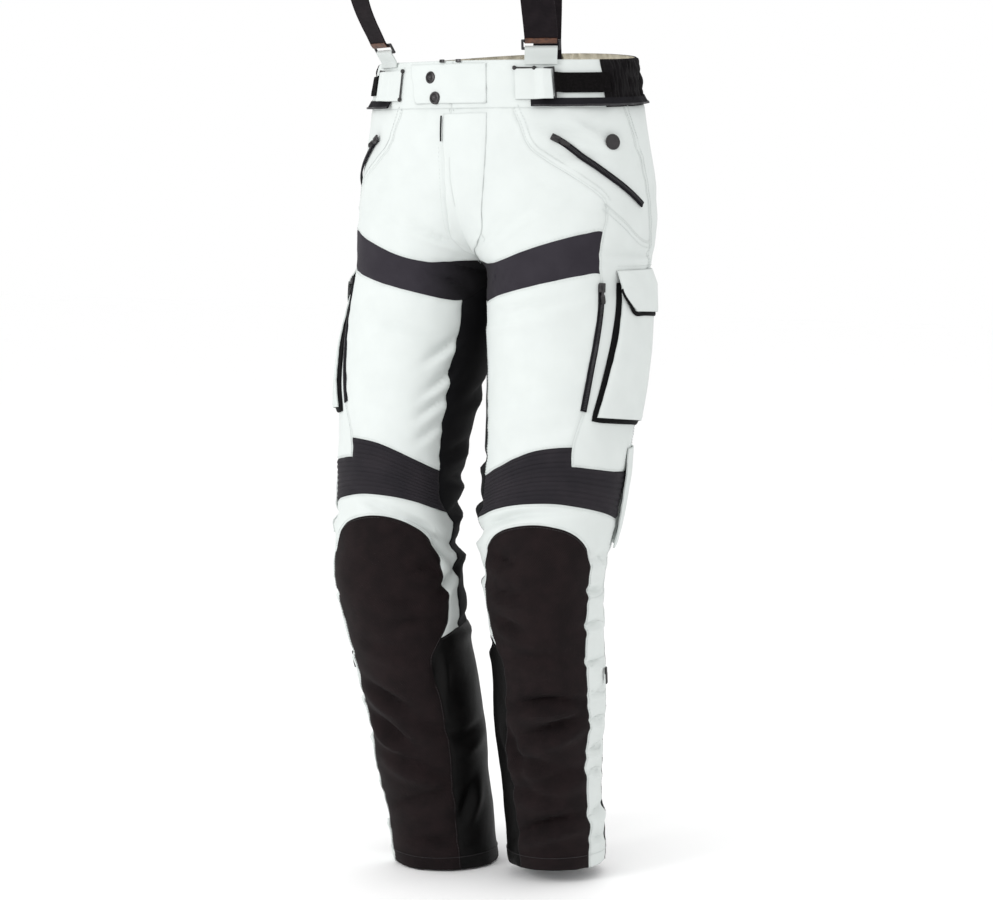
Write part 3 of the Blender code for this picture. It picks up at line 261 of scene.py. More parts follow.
# Cut pieces: name, cloth, cut width and length, its area, blocks of (top, bottom, front, back seam).
PANELS = [
    ("front_panel", "white_cloth", 0.22, 0.21, 0.031,
     [("waist", "band_top", "front_middle", "side_front")]),
    ("hip_panel", "white_cloth", 0.20, 0.16, 0.0185, [("waist", "hip", "side_front", "side_back")]),
    ("side_panel", "white_cloth", 0.12, 0.37, 0.0345, [("hip", "rib_step", "side_front", "side_back")]),
    ("thigh_band", "grey_stretch", 0.25, 0.10, 0.014,
     [("band_top", "band_bottom", "front_middle", "side_front")]),
    ("thigh_panel", "white_cloth", 0.19, 0.26, 0.038,
     [("band_bottom", "rib_top", "gusset_front", "side_front")]),
    ("inner_thigh", "black_stretch", 0.14, 0.47, 0.046,
     [("band_bottom", "calf_top", "front_middle", "gusset_front"),
      ("band_bottom", "calf_top", "gusset_back", "back_middle")]),
    ("rib_panel", "grey_ribbed", 0.23, 0.11, 0.016,
     [("rib_top", "rib_step", "gusset_front", "side_front"),
      ("rib_step", "rib_bottom", "gusset_front", "side_back")]),
    ("knee_yoke", "white_cloth", 0.24, 0.20, 0.017,
     [("rib_bottom", "calf_top", "gusset_front", "shin_inner"),
      ("rib_bottom", "arch", "shin_inner", "side_front"),
      ("rib_bottom", "strip_top", "side_front", "side_back")]),
    ("shin_panel", "shin_cloth", 0.20, 0.49, 0.065, [("arch", "hem", "shin_inner", "side_front")]),
    ("lower_side", "white_cloth", 0.07, 0.39, 0.024, [("strip_top", "hem", "side_front", "side_back")]),
    ("calf_panel", "calf_leather", 0.17, 0.34, 0.047,
     [("calf_top", "hem", "front_middle", "shin_inner"),
      ("calf_top", "hem", "gusset_back", "back_middle")]),
    ("back_panel", "white_cloth", 0.36, 0.71, 0.172,
     [("waist", "band_bottom", "side_back", "back_middle"),
      ("band_bottom", "calf_top", "side_back", "gusset_back")]),
    ("back_lower", "black_stretch", 0.16, 0.34, 0.046,
     [("calf_top", "hem", "side_back", "gusset_back")]),
]
BAND_FRONT_PAST_HIP = 4

# Sewn-on pieces, as rows of (left u, left depth, right u, right depth) from the top.
POCKET_FRONT = [
    (0.449, 0.250, 0.600, 0.250),
    (0.441, 0.290, 0.602, 0.290),
    (0.415, 0.350, 0.604, 0.355),
    (0.380, 0.418, 0.600, 0.432),
]
POCKET_FLAP = [
    (0.441, 0.2345, 0.608, 0.2345),
    (0.443, 0.262, 0.610, 0.262),
    (0.470, 0.287, 0.610, 0.291),
]
# Binding under the flap's slanting corner and lower edge, and its height over the cloth.
FLAP_BINDING = [(0.4405, 0.258), (0.446, 0.2665), (0.457, 0.2775), (0.470, 0.2895), (0.500, 0.2905),
                (0.560, 0.2925), (0.608, 0.2930)]
FLAP_BINDING_RISE = 0.0118
BACK_KNEE_TAB = [
    (0.492, 0.462, 0.600, 0.462),
    (0.485, 0.520, 0.605, 0.520),
    (0.494, 0.588, 0.585, 0.588),
]
ADJUSTER_TAB = [(0.150, -0.020, 0.2375, -0.017), (0.150, 0.020, 0.2375, 0.020)]
ADJUSTER_STRAP = [(0.2435, -0.013, 0.400, -0.013), (0.2435, 0.012, 0.400, 0.012)]
ADJUSTER_RING_U = 0.233
ADJUSTER_KNOB = [(0.0, 0.0016), (0.0018, 0.0014), (0.0026, 0.0006), (0.0028, -0.0012)]
ADJUSTER_EDGE = {"right": [(0.149, -0.0200), (0.150, 0.0200)],
                 "left": [(0.149, -0.0195), (0.200, -0.0190)]}
CLOSURE_TAB = [(0.124, -0.026, 0.084, -0.026), (0.096, 0.024, 0.084, 0.024)]
FLY_PLACKET = [
    (0.019, 0.034, 0.085, 0.034),
    (0.017, 0.080, 0.094, 0.080),
    (0.036, 0.125, 0.105, 0.125),
    (0.058, 0.158, 0.120, 0.158),
    (0.040, 0.176, 0.090, 0.176),
]
SNAPS = [(0.055, -0.009), (0.039, 0.017)]
# Painted shadow beside the fly placket's edge: (u, depth) rows of its dark strip.
FLY_PLACKET_SHADOW = [(0.0205, 0.036), (0.0195, 0.056)]
BAND_HOOKS = [("right", 0.0265), ("left", 0.0165)]
CALF_PULLER = [(0.493, 0.752), (0.492, 0.768)]
DOME_AT = (0.395, 0.073)

# Zips: name, height over the cloth, pull tab's length, (u, depth) rows from the slider's end.
ZIPS = [
    ("hip_zip", 0.0024, 0.016, [(0.243, 0.062), (0.275, 0.071), (0.345, 0.096), (0.425, 0.126),
                                (0.491, 0.153)]),
    ("vent_zip", 0.0006, 0.015, [(0.4075, 0.252), (0.401, 0.283), (0.385, 0.327), (0.371, 0.361),
                                 (0.353, 0.410)]),
]
ZIP_PULL_RISE = {"hip_zip": 0.0029, "vent_zip": 0.0010}
ZIP_HALF = 0.0042
ZIP_EASE = 0.030
ZIP_ABOUT = 0.15
TEETH_PITCH = 0.0016
SLIDER_LENGTH = 0.012
PULL_WIDTH = 0.006
PULL_THICK = 0.0012
PULL_CLEAR = 0.0014
PULL_TILT = 0.06
TAPE_THICK = 0.0012

STRAP_WIDTH = 0.042
STRAP_WALL = 0.0018
STRAP_PROFILE = [(share * STRAP_WIDTH, -0.0003 if abs(share) == 0.5 else 0.0)
                 for share in (-0.5, -0.47, -0.40, -0.2, 0.0, 0.2, 0.40, 0.47, 0.5)]
# Front of the left brace, from its ring to the shoulder: x, y, z, and its width's x, y, z.
BRACE_FRONT = [
    (0.1209, -0.1120, 0.0505, 0.875, 0.48, 0.0),
    (0.1244, -0.1183, 0.0625, 0.875, 0.48, 0.0),
    (0.1320, -0.1400, 0.1050, 0.90, 0.43, 0.0),
    (0.1360, -0.1600, 0.1700, 0.95, 0.30, 0.0),
    (0.1330, -0.1580, 0.2500, 0.98, 0.18, 0.0),
    (0.1250, -0.1280, 0.3300, 0.99, 0.08, 0.10),
    (0.1150, -0.0700, 0.4000, 0.99, 0.0, 0.16),
    (0.1080, 0.0050, 0.4250, 0.99, 0.0, 0.16),
]
# Backs of the braces. The left one runs on down to the waistband and the right one, mirrored
# in this table, ends where it is sewn on the left one's outer side.
BRACE_BACK = {
    "left": [
        (0.0960, 0.0700, 0.4000, 0.97, 0.0, 0.05),
        (0.0720, 0.1120, 0.3480, 0.90, 0.0, -0.35),
        (0.0400, 0.1280, 0.2960, 0.86, 0.0, -0.48),
        (0.0120, 0.1280, 0.2560, 0.88, 0.0, -0.42),
        (-0.0080, 0.1280, 0.2120, 0.97, 0.0, -0.20),
        (-0.0120, 0.1275, 0.1600, 1.0, 0.03, 0.0),
        (-0.0120, 0.1255, 0.1050, 1.0, 0.043, 0.0),
    ],
    "right": [
        (0.0960, 0.0700, 0.4000, 0.97, 0.0, 0.05),
        (0.0720, 0.1130, 0.3480, 0.90, 0.0, -0.35),
        (0.0400, 0.1306, 0.2960, 0.86, 0.0, -0.48),
        (0.0150, 0.1306, 0.2600, 0.86, 0.0, -0.50),
        (-0.0010, 0.1306, 0.2330, 0.86, 0.0, -0.50),
    ],
}
# Foot of the left brace inside the back of the waistband, on the right half's side of the middle.
BRACE_FOOT_X = -0.012
BRACE_FOOT_DEPTHS = (-0.050, -0.036, -0.021, -0.006)
BRACE_FOOT_WIDE = (1.0, 0.043, 0.0)
BRACE_FOOT_INSIDE = 0.0046
STRAP_END_SPAN = (0.0065, 0.0020)
RING_AT = (0.1190, -0.1085, 0.0480)
RING_WIDE = (0.875, 0.48, 0.0)
RING_HIGH = (0.25, -0.45, 0.86)
RING_SIZE = (0.050, 0.014)
RING_BAR = 0.0030
BRACE_LOOP_U = 0.215


def curve(table, x):
    """Smooth curve through the (x, value) rows of a table."""
    xs, ys = np.array(table, float).T
    slopes = np.gradient(ys, xs)
    x = np.clip(x, xs[0], xs[-1])
    k = np.clip(np.searchsorted(xs, x, side="right") - 1, 0, len(xs) - 2)
    step = xs[k + 1] - xs[k]
    t = (x - xs[k]) / step
    near = (2 * t**3 - 3 * t**2 + 1) * ys[k] + (t**3 - 2 * t**2 + t) * step * slopes[k]
    far = (3 * t**2 - 2 * t**3) * ys[k + 1] + (t**3 - t**2) * step * slopes[k + 1]
    return near + far


def columns_of(table, share):
    """Each column of a table as a smooth curve of the share of the way down its rows."""
    keys = np.linspace(0, 1, len(table))
    return [curve(list(zip(keys, column)), share) for column in zip(*table)]


def unit(vector):
    """The vector, or each of an array of them, made one long."""
    return vector / np.linalg.norm(vector, axis=-1, keepdims=True)


def section(leg, depth, column):
    """One column of a leg's sections at this depth."""
    return curve([(row[0], row[column]) for row in LEGS[leg]], depth)


def leg_ring(leg, u, depth):
    """Point of the leg's turned oval at this depth."""
    angle = 2 * np.pi * u
    x = -SIGN[leg] * section(leg, depth, 3) * np.cos(angle)
    y = -section(leg, depth, 4) * np.sin(angle)
    turn = np.radians(section(leg, depth, 5))
    across = section(leg, depth, 1) + x * np.cos(turn) - y * np.sin(turn)
    along = section(leg, depth, 2) + x * np.sin(turn) + y * np.cos(turn)
    return np.stack([across, along, -depth + 0 * u], -1)


def waist_ring(leg, u):
    """Point of the waistband's lower edge, higher at the back."""
    angle = np.pi * u
    height = -BAND_HALF + WAIST_BACK_RISE * ((1 - np.cos(angle)) / 2)**2.5
    across = SIGN[leg] * WAIST_HALF_WIDTH * np.sin(angle)
    return np.stack([across, -WAIST_HALF_DEPTH * np.cos(angle), height], -1)


def bezier(points, t):
    """Cubic curve through its four control points."""
    a, b, c, d = (np.array(point, float) for point in points)
    return (1 - t)**3 * a + 3 * (1 - t)**2 * t * b + 3 * (1 - t) * t**2 * c + t**3 * d


def rise(back, t):
    """Middle line from the crotch up to the waist, in front or at the back."""
    low = (0.0, CROTCH_BACK, -CROTCH_DEPTH)
    if back:
        top = (0.0, WAIST_HALF_DEPTH, -BAND_HALF + WAIST_BACK_RISE)
        mid_low = (0.0, CROTCH_BACK + 0.120, -CROTCH_DEPTH - 0.010)
        mid_top = (0.0, top[1] + 0.045, top[2] - 0.120)
    else:
        top = (0.0, -WAIST_HALF_DEPTH, -BAND_HALF)
        mid_low = (0.0, CROTCH_BACK - 0.105, -CROTCH_DEPTH - 0.006)
        mid_top = (0.0, top[1] - 0.022, top[2] - 0.120)
    return bezier([low, mid_low, mid_top, top], t)


def hip_loft(leg, u, t):
    """From the ring at the crotch (t = 0) up to the waist (t = 1)."""
    span = CROTCH_DEPTH - BAND_HALF
    level = np.full_like(u, CROTCH_DEPTH)
    ring = leg_ring(leg, u, level)
    start = (ring - leg_ring(leg, u, level + 0.02)) / 0.02 * span
    end = np.array([0.0, 0.0, span])
    low = (2 * t**3 - 3 * t**2 + 1) * ring + (t**3 - 2 * t**2 + t) * start
    return low + (3 * t**2 - 2 * t**3) * waist_ring(leg, u) + (t**3 - t**2) * end


def smooth_cloth(leg, u, depth):
    """Outer face of the cloth, before its folds."""
    u, depth = np.broadcast_arrays(np.asarray(u, float), np.asarray(depth, float))
    tube = leg_ring(leg, u, np.maximum(depth, CROTCH_DEPTH))
    t = np.clip((CROTCH_DEPTH - depth) / (CROTCH_DEPTH - BAND_HALF), 0, 1)[..., None]
    body = hip_loft(leg, u, t)
    front = np.maximum(0, 1 - 2 * u)[..., None]**2
    back = np.maximum(0, 2 * u - 1)[..., None]**2
    body = body + front * (rise(False, t) - hip_loft(leg, np.zeros_like(u), t))
    body = body + back * (rise(True, t) - hip_loft(leg, np.ones_like(u), t))
    hip = HIP_BULGE * np.sin(np.pi * t[..., 0]) * np.exp(-((u - 0.5) / 0.20)**2)
    seat = SEAT_BULGE * np.sin(np.pi * t[..., 0])**2 * np.exp(-((u - 0.75) / 0.14)**2)
    body = body + np.stack([SIGN[leg] * hip, seat, 0 * u], -1)
    body[..., 0] = SIGN[leg] * np.maximum(SIGN[leg] * body[..., 0], 0)
    point = np.where((depth < CROTCH_DEPTH)[..., None], body, tube)
    lift = np.maximum(0, BAND_HALF - depth)
    point[..., 2] += lift
    taper = (lift / (2 * BAND_HALF))[..., None] * np.array([BAND_TAPER[0], BAND_TAPER[1], 0.0])
    return point * (1 - taper)


def draped_cloth(leg, u, depth):
    """The cloth with the bend at the crotch drawn round, as worn cloth takes it."""
    u, depth = np.broadcast_arrays(np.asarray(u, float), np.asarray(depth, float))
    point = smooth_cloth(leg, u, depth)
    bent = np.abs(depth - CROTCH_DEPTH) < 2.5 * CROTCH_EASE
    if not bent.any():
        return point
    at_u, at_depth = u[bent], depth[bent]
    taps = [smooth_cloth(leg, at_u, at_depth + CROTCH_EASE * step) for step in (-1, -0.5, 0, 0.5, 1)]
    near = np.exp(-((at_depth - CROTCH_DEPTH) / CROTCH_EASE)**2)[:, None]
    eased = point[bent] + near * (sum(taps) / 5 - point[bent])
    middle = ((at_u < 1e-4) | (at_u > 1 - 1e-4)) & (at_depth <= CROTCH_DEPTH)
    eased[:, 0] = np.where(middle, 0.0, eased[:, 0])
    point[bent] = eased
    return point


def outward(leg, u, depth):
    """Unit normal of the cloth, pointing away from the wearer."""
    depth = np.where(depth < BAND_HALF, np.minimum(depth, BAND_HALF - 0.002), depth)
    step = NORMAL_STEP
    down = draped_cloth(leg, u, depth + step) - draped_cloth(leg, u, depth - step)
    around = draped_cloth(leg, u + step, depth) - draped_cloth(leg, u - step, depth)
    normal = unit(np.cross(down, around) * SIGN[leg])
    middle = ((u < 1e-4) | (u > 1 - 1e-4)) & (depth < CROTCH_DEPTH)
    sideways = SIGN[leg] * np.minimum(SIGN[leg] * normal[..., 0], 0)
    normal[..., 0] = np.where(middle, sideways, normal[..., 0])
    return unit(normal)


def girth(depth):
    """Length of cloth once round a leg, for a step of 1 in u."""
    return np.interp(depth, (0.03, 0.24, 0.56, 0.85, 1.03), (0.52, 0.66, 0.54, 0.48, 0.43))


def fold_height(leg, u, depth):
    """Height of the listed folds: a soft trough with a low ridge on its lower side."""
    total = np.zeros(np.shape(u))
    for at_u, at_depth, tilt, half_length, half_width, height, *bend in FOLDS[leg]:
        turned = np.where(depth > CROTCH_DEPTH + 0.05, (u - at_u + 0.5) % 1 - 0.5, u - at_u)
        x, y = turned * girth(depth), depth - at_depth
        angle = math.radians(tilt)
        along = x * math.cos(angle) + y * math.sin(angle)
        across = y * math.cos(angle) - x * math.sin(angle) - sum(bend) * along**2
        across = across / (half_width * MM)
        ridge = RIDGE_SHARE * np.exp(-(across - RIDGE_PLACE)**2 / RIDGE_SPREAD)
        deep = FOLD_DEPTH["trunk" if at_depth < CROTCH_DEPTH else "leg"] * height * MM
        total += deep * np.exp(-(along / (half_length * MM))**2) * (np.exp(-across**2) - ridge)
    return total


def skin(leg, u, depth, lift=0.0):
    """Points and normals of the folded cloth at chart places, raised by lift."""
    u, depth = np.broadcast_arrays(np.asarray(u, float), np.asarray(depth, float))
    normal = outward(leg, u, depth)
    height = fold_height(leg, u, depth) * (depth > BAND_HALF) + lift
    return draped_cloth(leg, u, depth) + normal * np.asarray(height)[..., None], normal


def seam_depth(name, leg, u):
    """Depth of a seam round the body at u."""
    table = next(row[2] for row in ROWS if row[0] == name)
    return np.full(np.shape(u), HEM_DEPTH[leg]) if table is None else curve(table, u)


def seam_u(name, depth):
    """u of a seam down the leg at this depth."""
    return curve(next(row[2] for row in COLUMNS if row[0] == name), depth)


def stations(seams):
    """Grid line of each seam, as (name, line) pairs."""
    line, found = 0, []
    for name, cells, _ in seams:
        line += cells
        found.append((name, line))
    return found


ROW_LINES = stations(ROWS)
COLUMN_LINES = stations(COLUMNS)
ROW_AT = dict(ROW_LINES)
COLUMN_AT = dict(COLUMN_LINES)


def between(lines, values, at):
    """Values at grid lines, filled in evenly between the seams' own values."""
    marks = np.array([line for _, line in lines])
    k = np.clip(np.searchsorted(marks, at, side="right") - 1, 0, len(marks) - 2)
    part = (at - marks[k]) / (marks[k + 1] - marks[k])
    stack = np.stack(values)
    low = np.take_along_axis(stack, k[None], 0)[0]
    high = np.take_along_axis(stack, k[None] + 1, 0)[0]
    return low * (1 - part) + high * part


def chart(leg, rows, columns):
    """u and depth where the grid lines cross, on the seams and between them."""
    row, column = np.meshgrid(rows, columns, indexing="ij")
    u = column / COLUMN_LINES[-1][1]
    depth = 0.03 + row / ROW_LINES[-1][1]
    for _ in range(60):
        down = between(ROW_LINES, [seam_depth(name, leg, u) for name, _ in ROW_LINES], row)
        across = between(COLUMN_LINES, [seam_u(name, depth) for name, _ in COLUMN_LINES], column)
        u, depth = (u + across) / 2, (depth + down) / 2
    return u, depth


def fine_lines(lines, first, last, cells):
    """Fine grid lines from one seam to another, with a narrow cell beside each seam."""
    found = [float(first)]
    marks = [line for _, line in lines if first <= line <= last]
    for start, end in zip(marks, marks[1:]):
        inner = np.linspace(start + EDGE_CELL, end - EDGE_CELL, (end - start) * cells)
        found += list(inner) + [float(end)]
    return np.array(found)


def relief(points, distance):
    """Height that sewing and wear give the cloth, by its distance from the nearest seam."""
    found = np.empty(len(points))
    for n, (point, away) in enumerate(zip(points, distance)):
        at = Vector(point)
        wave = noise.noise(at * 20.0) * 0.0011 + noise.noise(at * 48.0) * 0.0004
        worn = min(1.0, max(0.0, (-at.z - 0.42) / 0.15))
        wave += LEG_WAVE * worn * noise.noise(Vector((at.x * 7, at.y * 7, at.z * 17)))
        gather = noise.noise(Vector((at.x * 60, at.y * 60, at.z * 95))) * PUCKER * 2.2
        dip = SEAM_DIP * math.exp(-(away / SEAM_DIP_REACH)**2)
        found[n] = wave + gather * math.exp(-(away / PUCKER_REACH)**2) - dip
    return found


def new_sheet():
    """An empty mesh whose points carry a normal, a wall, a chart place and two marks."""
    bm = bmesh.new()
    for name in ("normal", "chart"):
        bm.verts.layers.float_vector.new(name)
    for name in ("wall", "lift", "seam"):
        bm.verts.layers.float.new(name)
    return bm


def add_grid(bm, points, normals, wall, places, lift=None):
    """Add a grid of cells through rows of points, with its chart places in metres."""
    normal_of = bm.verts.layers.float_vector["normal"]
    chart_of = bm.verts.layers.float_vector["chart"]
    wall_of, lift_of = (bm.verts.layers.float[name] for name in ("wall", "lift"))
    rows, columns = len(points) - 1, len(points[0]) - 1
    walls = np.broadcast_to(wall, (rows + 1, columns + 1))
    made = bmesh.ops.create_grid(bm, x_segments=columns, y_segments=rows, size=1.0)
    for vert in made["verts"]:
        i = round((vert.co.x + 1) / 2 * columns)
        j = round((1 - vert.co.y) / 2 * rows)
        vert.co = points[j][i]
        vert[normal_of] = normals[j][i]
        vert[chart_of] = (places[0][j][i], places[1][j][i], 0.0)
        vert[wall_of] = walls[j, i]
        vert[lift_of] = 0.0 if lift is None else lift[j][i]


def settle(bm, strength=1.0):
    """Lay the sheet's ribs and relief in, with every point's distance from its edge."""
    normal_of = bm.verts.layers.float_vector["normal"]
    lift_of, seam_of = (bm.verts.layers.float[name] for name in ("lift", "seam"))
    bm.verts.ensure_lookup_table()
    points = np.array([vert.co for vert in bm.verts])
    edge = np.array([vert.co for vert in bm.verts if vert.is_boundary])
    away = np.empty(len(points))
    for start in range(0, len(points), 2000):
        part = points[start:start + 2000]
        away[start:start + 2000] = np.sqrt(((part[:, None] - edge[None])**2).sum(-1)).min(1)
    heights = relief(points, away) * strength
    for vert, height, distance in zip(bm.verts, heights, away):
        rib = vert[lift_of] * min(1.0, distance / 0.005)
        vert.co += vert[normal_of] * float(height + rib)
        vert[seam_of] = distance


def close_sheet(bm, name, materials, node=None, body=BODY):
    """Give the sheet its wall, with the second material inside, and make its piece."""
    normal_of = bm.verts.layers.float_vector["normal"]
    wall_of = bm.verts.layers.float["wall"]
    inner = bmesh.ops.extrude_face_region(bm, geom=bm.faces[:], use_keep_orig=True)
    moved = {item for item in inner["geom"] if isinstance(item, bmesh.types.BMVert)}
    for vert in moved:
        vert.co -= vert[normal_of] * vert[wall_of]
    for face in bm.faces:
        face.material_index = int(len(materials) > 1 and moved.issuperset(face.verts))
    bmesh.ops.recalc_face_normals(bm, faces=bm.faces[:])
    return add_piece(bm, name, materials, node, body)


def add_piece(bm, name, materials, nodes=None, body=BODY, sharp=50):
    """Make a piece of the mesh, give it its materials and let it ride on its body."""
    mesh = bpy.data.meshes.new(name)
    bm.to_mesh(mesh)
    bm.free()
    mesh.shade_smooth()
    mesh.set_sharp_from_angle(angle=math.radians(sharp))
    for material in materials:
        mesh.materials.append(MATERIALS[material])
    piece = bpy.data.objects.new(name, mesh)
    bpy.context.scene.collection.objects.link(piece)
    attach(piece, body)
    if nodes:
        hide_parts(*([nodes] if isinstance(nodes, str) else nodes))
    return piece


def add_panel(leg, name, material, width, length, area, blocks):
    """One cut piece of a half, with ribs on the stretch panel above the knee."""
    ribbed = name == "rib_panel"
    bm = new_sheet()
    for top, bottom, first, last in blocks:
        rows = fine_lines(ROW_LINES, ROW_AT[top], ROW_AT[bottom], RIB_CELLS if ribbed else CELLS)
        columns = fine_lines(COLUMN_LINES, COLUMN_AT[first], COLUMN_AT[last], CELLS)
        u, depth = chart(leg, rows, columns)
        points, normals = skin(leg, u, depth)
        lift = np.zeros(u.shape)
        if ribbed:
            phase = (rows - ROW_AT["rib_top"]) * RIBS_A_ROW
            lift += (RIB_HEIGHT * np.abs(np.sin(np.pi * phase))**0.6)[:, None]
        if bottom == "hem":
            lift += 0.0007 * np.clip((depth - HEM_DEPTH[leg] + 0.022) / 0.003, 0, 1)
        add_grid(bm, points, normals, CLOTH_WALL, (u * CHART_ROUND, depth), lift)
    bmesh.ops.remove_doubles(bm, verts=bm.verts[:], dist=1e-5)
    settle(bm)
    piece = close_sheet(bm, f"{leg}_{name}_cloth", [material, "mesh_lining"], f"{leg}_{name}")


def band_places(leg, first, last):
    """u of the waistband's fine lines between two of the solids' grid lines."""
    lines = fine_lines(COLUMN_LINES, 0, COLUMN_LINES[-1][1], CELLS)
    at = np.concatenate([[first], lines[(lines > first) & (lines < last)], [last]])
    return chart(leg, np.array([0.0]), at)[0][0]


def add_band():
    """White fronts, padded over a stiffener, and the gathered elastic behind them."""
    elastic = COLUMN_AT["side_front"] + BAND_FRONT_PAST_HIP
    share = np.concatenate([[0, 0.03], np.linspace(0.08, 0.92, 15), [0.97, 1]])
    depth = BAND_HALF * (2 * share - 1)
    for leg in LEGS:
        u, down = np.meshgrid(band_places(leg, 0, elastic), depth)
        points, normals = skin(leg, u, down)
        lift = 0.0010 * (1 - np.abs(2 * share - 1)**6)[:, None] + 0 * u
        bm = new_sheet()
        add_grid(bm, points, normals, 0.0022, (u * CHART_ROUND, down), lift)
        settle(bm, 0.7)
        piece = close_sheet(bm, f"{leg}_band_front_cloth", ["white_cloth", "cream_lining"],
                            f"{leg}_band_front")
    bm = new_sheet()
    for leg in LEGS:
        places = band_places(leg, elastic, COLUMN_LINES[-1][1])
        places = np.interp(np.linspace(0, 1, 220), np.linspace(0, 1, len(places)), places)
        u, down = np.meshgrid(places, depth)
        points, normals = skin(leg, u, down)
        tunnel = np.abs(np.sin(np.pi * share * 3))[:, None]**0.5
        gathers = np.array([[noise.noise(Vector((a * 105, b * 3, SIGN[leg] * 3))) for a in places]
                            for b in share])
        ends = np.clip((u - places[0]) / 0.012, 0, 1)
        lift = (0.0016 * tunnel + 0.0042 * gathers * tunnel**0.5) * ends
        middle = u > 1 - 1e-4
        normals = on_middle(points, normals, middle)
        lift = np.where(middle, 0.0016 * tunnel, lift)
        add_grid(bm, points + normals * lift[..., None], normals, 0.0024, (u * CHART_ROUND, down))
    bmesh.ops.remove_doubles(bm, verts=bm.verts[:], dist=1e-4)
    piece = close_sheet(bm, "band_elastic_cloth", ["gathered_elastic", "cream_lining"], "band_elastic")


def add_overlay(leg, name, materials, table, columns, rows, height, wall, strength=0.6):
    """A piece that lies on the cloth; height(across, down) is its inner face above it."""
    bm = new_sheet()
    across = np.concatenate([[0, 0.02], np.linspace(0.06, 0.94, columns), [0.98, 1]])
    down = np.concatenate([[0, 0.02], np.linspace(0.06, 0.94, rows), [0.98, 1]])
    down, across = np.meshgrid(down, across, indexing="ij")
    left_u, left_depth, right_u, right_depth = columns_of(table, down)
    u = left_u + (right_u - left_u) * across
    depth = left_depth + (right_depth - left_depth) * across
    points, normals = skin(leg, u, depth, height(across, down) + wall)
    add_grid(bm, points, normals, wall, (u * CHART_ROUND, depth))
    settle(bm, strength)
    piece = close_sheet(bm, f"{leg}_{name}_cloth", materials, f"{leg}_{name}")


def pocket_height(across, down):
    """Inner face of the pocket's front above the cloth."""
    middle = np.sin(np.pi * np.clip(across, 0, 1))**0.5
    fill = np.interp(down, (0.0, 0.15, 0.6, 1.0), (0.45, 0.75, 1.0, 0.8))
    return 0.0085 * fill * (0.8 + 0.4 * middle)


def flap_height(across, down):
    """Inner face of the flap: sewn down at its top and lying over the pocket."""
    return np.interp(down, (0.0, 0.34, 1.0), (0.0010, 0.0096, 0.0128))


def knee_tab_height(across, down):
    """Inner face of the tab behind the knee: sewn down at its top and free below."""
    return np.interp(down, (0.0, 0.3, 1.0), (0.0016, 0.0048, 0.0050))


def add_pocket(leg):
    """Bellows pocket: its front, its folded side, its flap and the flap's binding."""
    add_overlay(leg, "pocket_front", ["white_cloth", "black_lining"], POCKET_FRONT, 30, 44,
                pocket_height, 0.0014)
    add_bellows(leg)
    add_overlay(leg, "pocket_flap", ["white_cloth", "black_lining"], POCKET_FLAP, 30, 18,
                flap_height, 0.0018)
    bm = new_sheet()
    points, normals, along, _ = track(leg, FLAP_BINDING, np.linspace(0, 1, 60), FLAP_BINDING_RISE)
    profile = [(-0.0026, -0.0006), (0.0, 0.0), (0.0026, -0.0006)]
    add_ribbon(bm, points, normals, along, profile, 0.0010)
    close_sheet(bm, f"{leg}_pocket_flap_binding", ["black_stretch"])


def add_bellows(leg):
    """The pocket's folded side, round both sides and the foot of its front."""
    turns = ((0.0, 0.0), (0.0, 1.0), (1.0, 1.0), (1.0, 0.0))
    path = [np.array(a) + (np.array(b) - a) * t for a, b, n in zip(turns, turns[1:], (34, 22, 34))
            for t in np.linspace(0, 1, n, endpoint=False)] + [np.array(turns[-1])]
    path = np.array(path)
    share = np.linspace(0, 1, 9)[:, None]
    out = np.where(path[:, 0] == 0, -1.0, np.where(path[:, 0] == 1, 1.0, 0.0))
    left_u, left_depth, right_u, right_depth = columns_of(POCKET_FRONT, path[:, 1])
    fold = 0.0022 * np.sin(2 * np.pi * share)
    u = left_u + (right_u - left_u) * path[:, 0] + out * (0.009 * (1 - share) + fold - 0.004 * share)
    below = np.where((path[:, 1] == 1) & (out == 0), 1.0, np.where(path[:, 1] == 1, 0.7, 0.0))
    depth = left_depth + (right_depth - left_depth) * path[:, 0]
    depth = depth + below * (0.006 * (1 - share) + fold - 0.003 * share)
    foot = 0.0006
    rim = pocket_height(path[:, 0], path[:, 1]) + 0.0004
    points, _ = skin(leg, u, depth, foot + (rim - foot) * share)
    sides = unit(np.cross(np.gradient(points, axis=0), np.gradient(points, axis=1)))
    facing = np.sign((sides * (points - points.mean((0, 1)))).sum(-1, keepdims=True))
    bm = new_sheet()
    add_grid(bm, points, sides * facing, 0.0010, (u * CHART_ROUND, depth))
    piece = close_sheet(bm, f"{leg}_pocket_bellows_cloth", ["black_stretch"], f"{leg}_pocket_bellows")


def add_middle_overlay(name, table, columns, rows, height):
    """A piece across the front's middle line, of a right part and a left part."""
    bm = new_sheet()
    wall = 0.0014
    for leg, edge, parts in (("right", 0, columns[0]), ("left", 2, columns[1])):
        down, across = np.meshgrid(np.linspace(0, 1, rows), np.linspace(0, 1, parts), indexing="ij")
        found = columns_of(table, down)
        u, depth = found[edge] * across, found[edge + 1]
        points, normals = skin(leg, u, depth)
        normals = on_middle(points, normals, across == 0)
        points = points + normals * (height * (1 + 0.5 * down) + wall)[..., None]
        add_grid(bm, points, normals, wall, (u * CHART_ROUND * SIGN[leg], depth))
    bmesh.ops.remove_doubles(bm, verts=bm.verts[:], dist=1e-4)
    settle(bm)
    piece = close_sheet(bm, f"{name}_cloth", ["white_cloth", "mesh_lining"], name)


def on_middle(points, normals, middle):
    """Put the marked points on the body's middle line, and give normals that stay in its plane."""
    points[..., 0] = np.where(middle, 0.0, points[..., 0])
    return np.where(middle[..., None], unit(normals * np.array([0.0, 1.0, 1.0])), normals)


